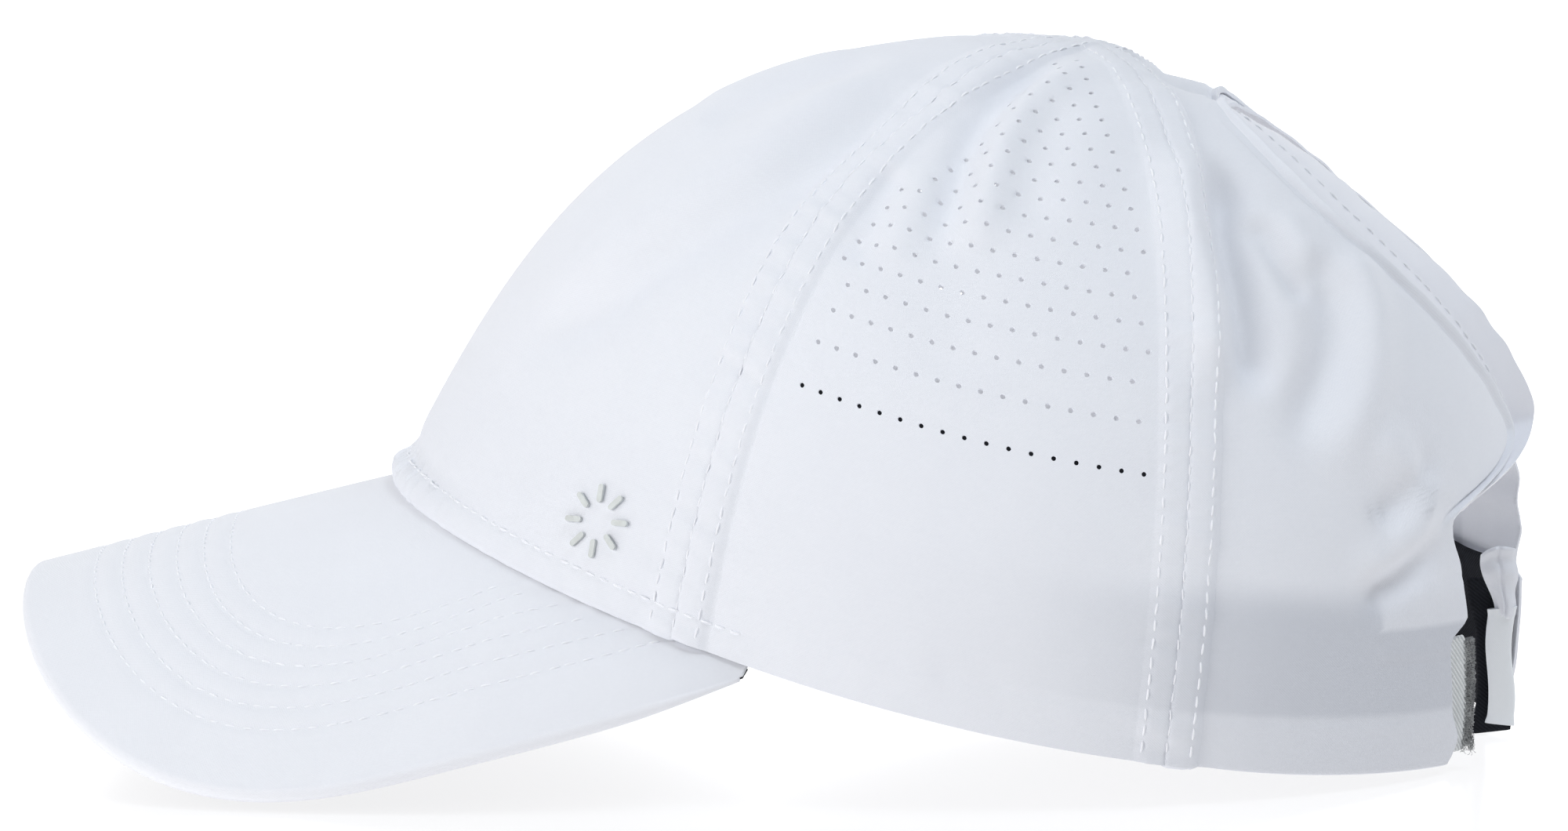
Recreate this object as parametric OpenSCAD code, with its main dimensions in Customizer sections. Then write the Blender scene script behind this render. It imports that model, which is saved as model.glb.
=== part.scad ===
// Lightweight running cap: soft five-panel crown, arched bill, tall rear ponytail
// opening and an open hook-and-loop closure.
// +Z is up, -Y is the front (bill), +X is the wearer's left. The cap stands on z = 0
// on the two side edges of its bill and on the rear of its rim.
// Directions round the crown are angles from the front, positive towards +X.
// Heights up a panel are a share: 0 at the rim, 1 at the apex.

/* [Crown outline] */
// Half width of the rim oval
rim_half_w = 81; // [77:1:84]
// Half length of the rim oval
rim_half_l = 100; // [96:1:104]
// How far behind the origin the centre of the rim oval is
rim_centre_y = 31.3; // [30:0.1:33]
// Height of the rim at the front, above its rear
rim_lift = 45; // [40:1:48]
// How quickly the rim climbs from the rear to the front
rim_curve = 1.8; // [1.6:0.1:2]
// How far behind the origin the apex is
apex_y = 54.3; // [50:1:58]
// Height of the profiles' top
apex_z = 125; // [118:0.5:130]
// How far the apex is drawn down where the seams meet
apex_dimple = 1.8; // [1:0.1:2.5]
// How far the crown sags round the ponytail opening
rear_sag = 5.5; // [3:0.5:6]
// How much further it sags between the opening and the apex
bridge_sag = 3; // [2:0.5:4]

/* [Crown profile: front, side and back] */
// Angle at which each profile leaves the rim, from the inward horizontal
leans = [63.5, 95, 102]; // [60:0.5:105]
// Reach of each profile's lower handle
rises = [61, 62, 72]; // [50:1:76]
// Reach of each profile's upper handle
reaches = [73, 54, 46]; // [40:1:76]
// Slope at which each profile meets the apex
dips = [0, 7, 9.3]; // [0:0.1:12]

/* [Panels and seams] */
// Thickness of the panel fabric
panel_t = 0.7; // [0.5:0.1:0.9]
// Direction of the front seams at the rim
front_seam_a = 60; // [57:1:63]
// Direction of the back seams at the rim
back_seam_a = 109.5; // [106:0.5:112]
// Width of the tape inside each seam
seam_tape_w = 9; // [7:0.5:11]
// Thickness of tapes and facings
tape_t = 0.4; // [0.3:0.1:0.5]
// Height of the turned hem round the rim
hem_h = 8.5; // [7:0.5:10]

/* [Ponytail opening] */
// Height share at which the opening ends below the apex
opening_top = 0.825; // [0.81:0.005:0.84]
// Height share of the opening's narrow lower end
opening_foot = 0.28; // [0.26:0.01:0.3]
// Half angle between the panel edges at the narrow lower end
opening_narrow_a = 8; // [7:1:10]
// Half angle between the panel edges at the widest place
opening_wide_a = 38; // [34:1:40]
// Share of the left side's half angle that the right side has
opening_right_share = 0.86; // [0.8:0.01:0.9]
// Half angle by which the edge band stays clear of the centre, as a share
band_edge_share = 0.5; // [0.4:0.05:0.6]
// How far the band's free edge stands out at its lower end and higher up
band_flares = [5.5, 0.5]; // [0.5:0.5:7]

/* [Bill] */
// Slope of the bill's ridge, down to the front
bill_slope = 14.4; // [13:0.2:16]
// Radius of the bill's arch
bill_radius = 108; // [98:1:110]
// Length of the bill along its ridge
bill_reach = 68.5; // [64:0.5:72]
// Half width of the bill along its arch
bill_half_w = 95.5; // [93:0.5:98]
// Squareness of the bill's outline: 2 is an ellipse
bill_power = 2.85; // [2.4:0.05:3]
// Direction at which the bill's corners join the rim
bill_end_a = 68; // [66:0.5:70]
// Thickness of the stiff board inside the bill
board_t = 1.8; // [1.6:0.1:2.2]
// Thickness of the cloth over and under the board
cover_t = 0.5; // [0.4:0.1:0.6]

/* [Sweatband] */
// Height of the sweatband
sweatband_h = 32; // [28:1:36]
// Thickness of the sweatband
sweatband_t = 0.9; // [0.7:0.1:1.1]
// Thickness of the pad behind the front of the sweatband
pad_t = 1.4; // [1:0.1:1.8]

/* [Closure] */
// Direction of the left panel's rear end, at the rim
left_end_a = 147.5; // [146:0.5:149]
// Direction of the right panel's rear end, at the rim
right_end_a = 169.5; // [168:0.5:171]
// Angle from a panel's end to its closure strap
strap_gap_a = 1.2; // [1.1:0.1:1.4]
// Length of the left closure tape past its root, as an angle
left_strap_a = 6.5; // [6:0.5:8]
// Length of the right closure strap past its root, as an angle
right_strap_a = 12; // [11:0.5:13]
// Height of the left closure tape
left_strap_h = 20; // [18:1:24]
// Height of the right closure strap
right_strap_h = 26; // [22:1:28]

/* [Badge] */
// Outer radius of the ring of short rays on the front panel
badge_r = 6.4; // [5:0.2:8]
// Number of rays
badge_rays = 8; // [6:1:10]

/* [Hidden] */
$fn = 32;

cloth_white = [0.93, 0.94, 0.97];
cloth_grey = [0.8, 0.82, 0.86];
cloth_black = [0.07, 0.07, 0.08];
badge_grey = [0.62, 0.64, 0.65];

layer_gap = 0.3;               // clear space between neighbouring layers of cloth
top_t = 0.985;                 // height share at which the panels end, at the apex
tape_depth = panel_t + layer_gap;
band_top_room = 0.5;           // extra depth of an opening band under the panels' tight turn
band_depth = tape_depth + tape_t + layer_gap;
panel_rows = 24;
step = 0.002;                  // share used to measure slopes
angle_step = 0.25;             // angle used to measure slopes
front = 0;
side = 1;
back = 2;

// ---- helpers ----

function unit(v) = v / norm(v);
function clamp01(x) = min(1, max(0, x));
function smooth(x) = let(c = clamp01(x)) c * c * (3 - 2 * c);
function lerp(p, q, s) = p + (q - p) * s;

// A value that is three[0] at the front, three[1] at the sides and three[2] at the back.
function round_crown(three, a) =
    let(
        mean = (three[front] + three[back]) / 2,
        tilt = (three[front] - three[back]) / 2
    )
    (mean + three[side]) / 2 + tilt * cos(a) + (mean - three[side]) / 2 * cos(2 * a);

// ---- crown surface ----

function rim_point(a) = [
    rim_half_w * sin(a),
    rim_centre_y - rim_half_l * cos(a),
    rim_lift * pow((1 + cos(a)) / 2, rim_curve),
];

// How far the cloth lies below its profile: at the apex, round the opening and above it.
function crown_drop(a, t) =
    let(near_apex = smooth((1 - t) / 0.16))
    apex_dimple * smooth((t - 0.86) / 0.14)
    + rear_sag * smooth((abs(a) - 140) / 35) * smooth((t - 0.45) / 0.35) * near_apex
    + bridge_sag * smooth((abs(a) - 105) / 40) * smooth((t - 0.76) / 0.12) * near_apex;

// Each profile is one cubic curve from the rim to the apex, in the plane through both.
function crown_point(a, t) =
    let(
        p0 = rim_point(a),
        p3 = [0, apex_y, apex_z],
        inward = unit([p3.x - p0.x, p3.y - p0.y, 0]),
        lean = round_crown(leans, a),
        dip = round_crown(dips, a),
        p1 = p0 + round_crown(rises, a) * (cos(lean) * inward + [0, 0, sin(lean)]),
        p2 = p3 - round_crown(reaches, a) * (cos(dip) * inward + [0, 0, sin(dip)]),
        s = 1 - t
    )
    s * s * s * p0 + 3 * s * s * t * p1 + 3 * s * t * t * p2 + t * t * t * p3
        - [0, 0, crown_drop(a, t)];

function crown_normal(a, t) =
    unit(cross(
        crown_point(a + angle_step, t) - crown_point(a - angle_step, t),
        crown_point(a, t + step) - crown_point(a, t - step)
    ));

// A point at a depth inside the crown's outer surface.
function crown_inside(a, t, depth) = crown_point(a, t) - depth * crown_normal(a, t);

// The height share at a height above the rim, measured up the cloth.
function share_at(a, h) = h / (3 * round_crown(rises, a)) * (1 + h / 250);

// ---- seam lines, as directions at each height share ----

function front_seam(t) = front_seam_a + 3 * (1 - pow(1 - t, 3));
function back_seam(t) = back_seam_a + 9 * t + 8 * pow(t, 4);

// Half angle between the centre line and the left panel's edge beside the opening.
function opening_half(t) =
    let(
        u = clamp01((t - opening_foot) / (opening_top - opening_foot)),
        widest = 0.75,
        below = pow(sin(90 * min(1, u / widest)), 1.3),
        above = sqrt(1 - pow(clamp01((u - widest) / (1 - widest)), 4))
    )
    t >= opening_top ? 0
    : (opening_narrow_a + (opening_wide_a - opening_narrow_a) * below) * above;

function back_end_left(t) =
    lerp(left_end_a, 180 - opening_half(t), smooth((t - 0.205) / 0.06));
function back_end_right(t) =
    lerp(right_end_a, 180 - opening_half(t) * opening_right_share, smooth((t - 0.2) / 0.1));

// ---- solids from two matching grids of points ----

function all_points(grid) = [for (row = grid) each row];

function grid_triangles(rows, cols, first, flip) = [
    for (i = [0:rows - 2], j = [0:cols - 2])
        let(
            p = first + i * cols + j,
            q = p + 1,
            r = p + cols,
            s = r + 1
        )
        each flip ? [[p, s, r], [p, q, s]] : [[p, r, s], [p, s, q]]
];

// Index of each point round the border of a grid, in order.
function border(rows, cols) = concat(
    [for (j = [0:cols - 2]) j],
    [for (i = [0:rows - 2]) i * cols + cols - 1],
    [for (j = [cols - 1:-1:1]) (rows - 1) * cols + j],
    [for (i = [rows - 1:-1:1]) i * cols]
);

module slab(outer, inner) {
    rows = len(outer);
    cols = len(outer[0]);
    count = rows * cols;
    rim = border(rows, cols);
    edge_faces = [
        for (k = [0:len(rim) - 1])
            let(p = rim[k], q = rim[(k + 1) % len(rim)])
            each [[p, q, q + count], [p, q + count, p + count]]
    ];
    polyhedron(
        points = concat(all_points(outer), all_points(inner)),
        faces = concat(
            grid_triangles(rows, cols, 0, false),
            grid_triangles(rows, cols, count, true),
            edge_faces
        )
    );
}

// place(u, v) gives [direction, height share, extra depth] for u and v from 0 to 1.
function crown_grid(place, cols, rows, depth) = [
    for (i = [0:rows]) [
        for (j = [0:cols])
            let(at = place(j / cols, i / rows))
            crown_inside(at[0], at[1], depth + at[2])
    ]
];

module crown_piece(place, cols, rows, depth, thickness) {
    slab(
        crown_grid(place, cols, rows, depth),
        crown_grid(place, cols, rows, depth + thickness)
    );
}

// A panel between two seam lines, each a direction as a function of the height share.
module panel(from, to, cols) {
    place = function(u, v) [lerp(from(v * top_t), to(v * top_t), u), v * top_t, 0];
    crown_piece(place, cols, panel_rows, 0, panel_t);
}

// A band between two directions and two heights above the rim.
function band_place(a0, a1, h0, h1, extra) =
    function(u, v)
        let(a = lerp(a0, a1, u))
        [a, share_at(a, lerp(h0, h1, v)), extra(a)];

function no_extra(a) = 0;

module band(a0, a1, h0, h1, cols, rows, depth, thickness) {
    crown_piece(
        band_place(a0, a1, h0, h1, function(a) no_extra(a)),
        cols, rows, depth, thickness
    );
}

// ---- crown panels ----

module front_panel() {
    color(cloth_white)
        panel(function(t) -front_seam(t), function(t) front_seam(t), 22);
}

module side_panel_left() {
    color(cloth_white)
        panel(function(t) front_seam(t), function(t) back_seam(t), 10);
}

module side_panel_right() {
    color(cloth_white)
        panel(function(t) -back_seam(t), function(t) -front_seam(t), 10);
}

module back_panel_left() {
    color(cloth_white)
        panel(function(t) back_seam(t), function(t) back_end_left(t), 12);
}

module back_panel_right() {
    color(cloth_white)
        panel(function(t) -back_end_right(t), function(t) -back_seam(t), 12);
}

// ---- tapes and facings inside the crown ----

// A strip of even width that follows a seam line inside the panels.
module seam_tape(seam, mirrored) {
    low = share_at(90, hem_h + 1);
    place = function(u, v)
        let(
            t = lerp(low, top_t - 0.04, v),
            half = min(9, seam_tape_w / 2 / norm(crown_point(seam(t) + 1, t) - crown_point(seam(t), t))),
            a = seam(t) + lerp(-half, half, u)
        )
        [a, t, 0];
    mirror([mirrored ? 1 : 0, 0, 0])
        color(cloth_white)
            crown_piece(place, 2, panel_rows, tape_depth, tape_t);
}

module front_seam_tape_left() {
    seam_tape(function(t) front_seam(t), false);
}

module front_seam_tape_right() {
    seam_tape(function(t) front_seam(t), true);
}

module back_seam_tape_left() {
    seam_tape(function(t) back_seam(t), false);
}

module back_seam_tape_right() {
    seam_tape(function(t) back_seam(t), true);
}

// A band under the panel's edge that reaches into the opening and edges it.
module opening_band(panel_end, mirrored) {
    overlap_a = 2;
    flare_start_a = 2.6;
    low = opening_foot;
    high = opening_top - 0.015;
    place = function(u, v)
        let(
            t = lerp(low, high, v),
            edge = panel_end(t),
            free_edge = 180 - (180 - edge) * band_edge_share,
            a = lerp(edge - overlap_a, free_edge, u),
            out = clamp01((a - edge - flare_start_a) / (free_edge - edge)),
            flare = lerp(band_flares[0], band_flares[1], smooth(v / 0.6)) * out * out
        )
        [a, t, band_top_room * smooth((v - 0.7) / 0.2) - flare];
    mirror([mirrored ? 1 : 0, 0, 0])
        color(cloth_white)
            crown_piece(place, 3, 20, tape_depth, tape_t);
}

module opening_band_left() {
    opening_band(function(t) back_end_left(t), false);
}

module opening_band_right() {
    opening_band(function(t) back_end_right(t), true);
}

module rim_facing_left() {
    color(cloth_white)
        band(bill_end_a + 1, left_end_a, 0.3, hem_h, 16, 1, tape_depth, tape_t);
}

module rim_facing_right() {
    color(cloth_white)
        band(-right_end_a, -bill_end_a - 1, 0.3, hem_h, 20, 1, tape_depth, tape_t);
}

module bill_seam_tape() {
    color(cloth_white)
        band(-bill_end_a, bill_end_a, 0.3, hem_h, 24, 1, tape_depth, tape_t);
}

module closure_patch_left() {
    color(cloth_white)
        band(134, left_end_a - 1, 19, 31, 4, 2, tape_depth, tape_t);
}

module closure_patch_right() {
    color(cloth_white)
        band(-right_end_a + 1, -156, 19, 31, 4, 2, tape_depth, tape_t);
}

// ---- sweatband ----

// Extra depth of the sweatband where the pad lies behind it.
function pad_room(a) = (pad_t + layer_gap) * (1 - smooth((abs(a) - 58) / 12));

module sweatband() {
    color(cloth_black)
        crown_piece(
            band_place(-right_end_a, left_end_a, 0.4, sweatband_h, function(a) pad_room(a)),
            56, 4, band_depth, sweatband_t
        );
}

module forehead_pad() {
    color(cloth_grey)
        band(-56, 56, 3, sweatband_h - 4, 16, 3, band_depth, pad_t);
}

module care_label() {
    color(cloth_white)
        band(116, 130, 12, 30, 3, 2, band_depth + sweatband_t + layer_gap, tape_t);
}

// ---- bill ----

bill_root = [0, rim_centre_y - rim_half_l, rim_lift];
bill_forward = [0, -cos(bill_slope), -sin(bill_slope)];
bill_up = [0, -sin(bill_slope), cos(bill_slope)];
edge_split = 0.62;             // where the outline turns from the front to the side
root_depth = tape_depth;       // how far inside the rim the bill's root reaches
seat_gap = 0.2;                // space between the bill's root and the panels on it
bill_t = board_t + 2 * cover_t + 0.4;
corner_thinning = 0.6;         // share of its thickness that the bill loses at its corners

// The bill thins where the board runs out near each corner.
function thickness_share(u) = 1 - corner_thinning * smooth((abs(u) - 0.84) / 0.16);

// A point on the arch: s along the arch from the ridge, f forward from the root.
function arch_point(s, f) =
    let(turn = s / bill_radius * 180 / PI)
    bill_root + [bill_radius * sin(turn), 0, 0] + f * bill_forward
        - bill_radius * (1 - cos(turn)) * bill_up;

// The arch coordinates of the place level with a point.
function on_arch(p) =
    let(
        turn = asin(p.x / bill_radius),
        drop = bill_radius * (1 - cos(turn))
    )
    [
        bill_radius * turn * PI / 180,
        (bill_root.y - p.y + drop * sin(bill_slope)) / cos(bill_slope),
    ];

// The root line, for u from 0 at the centre to 1 at the corner.
function root_line(u) =
    let(p = rim_point(u * bill_end_a), n = crown_normal(u * bill_end_a, 0))
    p - root_depth * unit([n.x, n.y, 0]) - [0, 0, seat_gap];

corner = on_arch(root_line(1)) + [2.4, 1.6];
corner_drop = root_line(1).z - arch_point(on_arch(root_line(1)).x, on_arch(root_line(1)).y).z;

// The outline as [s, f, share of the corner's drop].
function outline(u) =
    let(
        turn = 90 * min(1, u / edge_split),
        k = clamp01((u - edge_split) / (1 - edge_split))
    )
    u < edge_split
        ? [bill_half_w * pow(sin(turn), 2 / bill_power), bill_reach * pow(cos(turn), 2 / bill_power), 0]
        : [lerp(bill_half_w, corner.x, pow(k, 2.3)), corner.y * k, k * k];

// The bill's upper surface: u across from -1 to 1, w from 0 at the root to 1 at the edge.
function bill_point(u, w) =
    let(
        root = root_line(abs(u)),
        from = on_arch(root),
        to = outline(abs(u)),
        on = arch_point(lerp(from.x, to[0], w), lerp(from.y, to[1], w)),
        root_drop = root.z - arch_point(from.x, from.y).z,
        fade = (1 - w) * (1 - w)
    )
    [sign(u) * on.x, on.y, on.z + root_drop * fade + corner_drop * to[2] * (1 - fade)];

function bill_normal(u, w) =
    let(
        across = bill_point(min(1, u + step), w) - bill_point(max(-1, u - step), w),
        out = bill_point(u, w + step) - bill_point(u, w - step)
    )
    unit(cross(out, across));

function bill_under(u, w, depth) =
    bill_point(u, w) - depth * thickness_share(u) * bill_normal(u, w);

function bill_length(u) = norm(bill_point(u, 1) - bill_point(u, 0));

// Points across the bill; the last row is the outline, the one before it lies a lip inside.
function bill_grid(end_u, cols, rows, lip, inset, depth, edge_depth) = [
    for (i = [0:rows]) [
        for (j = [0:cols])
            let(
                u = lerp(-end_u, end_u, j / cols),
                long = bill_length(u),
                w = i == rows ? 1 - inset / long : i / (rows - 1) * (1 - (inset + lip) / long)
            )
            bill_under(u, w, i == rows ? edge_depth : depth)
    ]
];

bill_cols = 34;
bill_rows = 8;
lip_w = 1.2;
board_depth = cover_t + 0.2;
under_depth = bill_t - cover_t;
edge_depth = bill_t / 2;

module bill_top_cover() {
    color(cloth_white)
        slab(
            bill_grid(1, bill_cols, bill_rows, lip_w, 0, cover_t, edge_depth - 0.1),
            bill_grid(1, bill_cols, bill_rows, lip_w, 0, 0, 0.5)
        );
}

module bill_undervisor() {
    color(cloth_black)
        slab(
            bill_grid(1, bill_cols, bill_rows, lip_w, 0, bill_t, bill_t - 0.5),
            bill_grid(1, bill_cols, bill_rows, lip_w, 0, under_depth, edge_depth + 0.1)
        );
}

module bill_board() {
    color(cloth_grey)
        slab(
            bill_grid(0.9, bill_cols, bill_rows, 1, lip_w + 0.3, board_depth + board_t, board_depth + board_t),
            bill_grid(0.9, bill_cols, bill_rows, 1, lip_w + 0.3, board_depth, board_depth)
        );
}

// ---- badge: a plain ring of short rays ----

badge_a = 49;
badge_share = 0.078;
ray_w = 1;
ray_t = 0.5;
ray_inner_r = badge_r * 0.5;

module ray() {
    length = badge_r - ray_inner_r - ray_w;
    translate([ray_inner_r + ray_w / 2, 0, 0])
        linear_extrude(ray_t)
            union() {
                translate([0, -ray_w / 2])
                    square([length, ray_w]);
                circle(d = ray_w);
                translate([length, 0])
                    circle(d = ray_w);
            }
}

module front_badge() {
    at = crown_point(badge_a, badge_share);
    n = crown_normal(badge_a, badge_share);
    color(badge_grey)
        translate(at + 0.05 * n)
            rotate([0, acos(n.z), atan2(n.y, n.x)])
                for (k = [0:badge_rays - 1])
                    rotate([0, 0, k * 360 / badge_rays])
                        ray();
}

// ---- closure ----

strap_foot_h = 2;
left_root_a = left_end_a + strap_gap_a;
left_tip_a = left_root_a + left_strap_a;
right_root_a = right_end_a + strap_gap_a;
right_tip_a = right_root_a + right_strap_a;
left_strap_depth = 0.3;
right_strap_depth = 1.8;
strap_t = 0.9;
pile_t = 0.9;

module closure_tape_left() {
    color(cloth_white)
        band(left_root_a, left_tip_a, strap_foot_h, left_strap_h, 4, 2, left_strap_depth, strap_t);
}

module loop_pile_left() {
    color(cloth_grey)
        band(left_root_a + 3.2, left_tip_a, strap_foot_h + 0.5, left_strap_h - 0.5, 3, 2,
            left_strap_depth - 0.1 - pile_t, pile_t);
}

module closure_strap_right() {
    color(cloth_white)
        band(-right_tip_a, -right_root_a, strap_foot_h, right_strap_h, 5, 2,
            right_strap_depth, strap_t);
}

module hook_patch_right() {
    color(cloth_grey)
        band(-right_tip_a + 2, -right_root_a - 2, strap_foot_h + 1, right_strap_h - 3, 4, 2,
            right_strap_depth + strap_t + 0.25, pile_t);
}

binding_w = 5.8;
binding_t = 1.5;
binding_h = 21;

// A folded tape over the free end of the right strap, turned side-on.
module end_binding_right() {
    foot = crown_inside(-right_tip_a, share_at(right_tip_a, 0.7), 0);
    color(cloth_white)
        translate(foot + [0.3, -binding_w, 0])
            linear_extrude(binding_h)
                union() {
                    translate([0, binding_t / 2])
                        square([binding_t, binding_w - binding_t]);
                    translate([binding_t / 2, binding_t / 2])
                        circle(d = binding_t);
                    translate([binding_t / 2, binding_w - binding_t / 2])
                        circle(d = binding_t);
                }
}

front_panel();
side_panel_left();
side_panel_right();
back_panel_left();
back_panel_right();
front_seam_tape_left();
front_seam_tape_right();
back_seam_tape_left();
back_seam_tape_right();
opening_band_left();
opening_band_right();
rim_facing_left();
rim_facing_right();
bill_seam_tape();
bill_top_cover();
bill_board();
bill_undervisor();
sweatband();
forehead_pad();
care_label();
front_badge();
closure_patch_left();
closure_patch_right();
closure_tape_left();
loop_pile_left();
closure_strap_right();
hook_patch_right();
end_binding_right();
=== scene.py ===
"""A white running cap: cloth, seams, stitching, closure and finishes over its CAD frame.

Lengths in the shape functions are in millimetres and angles in degrees, as in the CAD source.
A mesh is scaled to metres when it is made. "share" is a height share: 0 at the rim, 1 at the apex.
"""

import math

import bpy
import numpy as np
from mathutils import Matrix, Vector
from mathutils.geometry import delaunay_2d_cdt


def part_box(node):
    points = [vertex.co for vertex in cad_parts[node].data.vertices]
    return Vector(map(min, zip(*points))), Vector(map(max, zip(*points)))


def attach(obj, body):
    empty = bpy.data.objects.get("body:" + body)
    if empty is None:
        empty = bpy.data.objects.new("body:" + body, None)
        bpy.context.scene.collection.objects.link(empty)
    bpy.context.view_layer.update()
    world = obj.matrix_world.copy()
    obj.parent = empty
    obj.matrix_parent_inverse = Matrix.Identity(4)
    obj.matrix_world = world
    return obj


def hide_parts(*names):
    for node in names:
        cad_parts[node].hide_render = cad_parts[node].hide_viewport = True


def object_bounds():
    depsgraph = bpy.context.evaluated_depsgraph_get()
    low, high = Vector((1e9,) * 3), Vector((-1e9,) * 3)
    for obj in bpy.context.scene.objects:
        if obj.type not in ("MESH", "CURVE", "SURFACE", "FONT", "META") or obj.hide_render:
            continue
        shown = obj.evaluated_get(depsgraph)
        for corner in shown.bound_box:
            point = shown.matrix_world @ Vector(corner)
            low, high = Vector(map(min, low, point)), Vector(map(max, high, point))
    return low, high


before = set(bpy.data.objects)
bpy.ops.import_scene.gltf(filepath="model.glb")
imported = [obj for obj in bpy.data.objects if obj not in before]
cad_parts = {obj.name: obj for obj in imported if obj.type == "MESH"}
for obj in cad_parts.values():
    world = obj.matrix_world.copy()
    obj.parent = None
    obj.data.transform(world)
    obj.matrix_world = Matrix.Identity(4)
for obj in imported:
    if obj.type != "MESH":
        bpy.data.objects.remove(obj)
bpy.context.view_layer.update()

MM = 0.001
CAP = "cap"

# ---- the crown's driving dimensions, as in the CAD source ----

RIM_HALF_W = 81
RIM_HALF_L = 100
RIM_CENTRE_Y = 31.3
RIM_LIFT = 45
RIM_CURVE = 1.8
APEX = np.array([0, 54.3, 125.0])
APEX_DIMPLE = 1.8
REAR_SAG = 5.5
BRIDGE_SAG = 3
LEANS = (63.5, 95, 102)        # front, side, back
RISES = (61, 62, 72)
REACHES = (73, 54, 46)
DIPS = (0, 7, 9.3)
PANEL_T = 0.7
HEM_H = 8.5
FRONT_SEAM_A = 60
BACK_SEAM_A = 109.5
OPENING_FOOT = 0.28            # height shares of the ponytail opening
OPENING_TOP = 0.825
OPENING_NARROW_A = 8
OPENING_WIDE_A = 38
OPENING_RIGHT_SHARE = 0.86
LEFT_END_A = 147.5
LEFT_END_LEAN = 26             # degrees per height share
TAPE_BULGE_A = 3.6
CLOSURE_TOP = 0.222            # the height share where the left end leaves the closure
RIGHT_END_A = 169.5
STRAP_GAP_A = 1.2
RIGHT_STRAP_A = 12
BAND_FLARES = (5.5, 0.5)
SWEATBAND_H = 32
PAD_ROOM = 1.7
TOP_SHARE = 0.9985             # the cloth runs closer to the apex than its CAD solids do

BILL_SLOPE = 14.4
BILL_RADIUS = 108
BILL_REACH = 68.5
BILL_HALF_W = 95.5
BILL_POWER = 2.85
BILL_END_A = 68
BILL_T = 3.2
BILL_SPLIT = 0.62
CORNER_THINNING = 0.6

SHARE_STEP = 0.002
ANGLE_STEP = 0.25


# ---- numbers and vectors ----

def sind(angle):
    return np.sin(np.radians(angle))


def cosd(angle):
    return np.cos(np.radians(angle))


def clamp01(x):
    return np.clip(x, 0, 1)


def smooth(x):
    c = clamp01(x)
    return c * c * (3 - 2 * c)


def lerp(p, q, s):
    return p + (q - p) * s


def bell(x, width):
    return np.exp(-np.square(x / width))


def length_of(v):
    return np.linalg.norm(v, axis=-1)


def unit(v):
    return v / np.maximum(length_of(v), 1e-9)[..., None]


def stack(*parts):
    return np.stack(np.broadcast_arrays(*parts), -1).astype(float)


def run_along(line):
    """The length along a line up to each of its points."""
    return np.concatenate([[0], np.cumsum(length_of(np.diff(line, axis=0)))])


def unit_grid(cols, rows):
    """Two shares from 0 to 1, across and up a grid of points."""
    return np.meshgrid(np.linspace(0, 1, cols), np.linspace(0, 1, rows))


def ripple(x, wavelength, seed):
    """An uneven wave from -1 to 1 along x, the same on each run."""
    turns = np.random.default_rng(seed).uniform(0, 360, 3)
    wander = 80 * sind(360 * x / (5.3 * wavelength) + turns[0])
    swell = 0.6 + 0.4 * sind(360 * x / (3.1 * wavelength) + turns[1])
    return swell * sind(360 * x / wavelength + turns[2] + wander)


# ---- the crown's surface ----

def round_crown(three, a):
    mean = (three[0] + three[2]) / 2
    tilt = (three[0] - three[2]) / 2
    return (mean + three[1]) / 2 + tilt * cosd(a) + (mean - three[1]) / 2 * cosd(2 * a)


def rim_point(a):
    height = RIM_LIFT * ((1 + cosd(a)) / 2) ** RIM_CURVE
    return stack(RIM_HALF_W * sind(a), RIM_CENTRE_Y - RIM_HALF_L * cosd(a), height)


def crown_drop(a, t):
    """How far the cloth lies below its profile: at the apex, round the opening and above it."""
    near_apex = smooth((1 - t) / 0.16)
    return (
        APEX_DIMPLE * smooth((t - 0.86) / 0.14)
        + REAR_SAG * smooth((np.abs(a) - 140) / 35) * smooth((t - 0.45) / 0.35) * near_apex
        + BRIDGE_SAG * smooth((np.abs(a) - 105) / 40) * smooth((t - 0.76) / 0.12) * near_apex
    )


def crown_point(a, t):
    a, t = np.broadcast_arrays(np.asarray(a, float), np.asarray(t, float))
    foot = rim_point(a)
    inward = unit((APEX - foot) * (1, 1, 0))
    up = np.array([0, 0, 1.0])
    lean = round_crown(LEANS, a)[..., None]
    dip = round_crown(DIPS, a)[..., None]
    low = foot + round_crown(RISES, a)[..., None] * (cosd(lean) * inward + sind(lean) * up)
    high = APEX - round_crown(REACHES, a)[..., None] * (cosd(dip) * inward + sind(dip) * up)
    s = (1 - t)[..., None]
    r = t[..., None]
    on = s ** 3 * foot + 3 * s * s * r * low + 3 * s * r * r * high + r ** 3 * APEX
    return on - crown_drop(a, t)[..., None] * up


def crown_slopes(a, t):
    """The change in place per degree and per height share."""
    across = (crown_point(a + ANGLE_STEP, t) - crown_point(a - ANGLE_STEP, t)) / (2 * ANGLE_STEP)
    along = (crown_point(a, t + SHARE_STEP) - crown_point(a, t - SHARE_STEP)) / (2 * SHARE_STEP)
    return across, along


def crown_normal(a, t):
    return unit(np.cross(*crown_slopes(a, t)))


def share_at(a, h):
    """The height share at a height above the rim, measured up the cloth."""
    return h / (3 * round_crown(RISES, a)) * (1 + h / 250)


SHARES = np.linspace(0, 1, 401)
SIDE_RUN = run_along(crown_point(90, SHARES))


def run_at(t):
    """The length up the cloth at a height share, in millimetres."""
    return np.interp(t, SHARES, SIDE_RUN)


# ---- seam lines, as directions at each height share ----

def front_seam(t):
    return FRONT_SEAM_A + 3 * (1 - (1 - t) ** 3)


def back_seam(t):
    return BACK_SEAM_A + 9 * t + 8 * t ** 4


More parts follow.
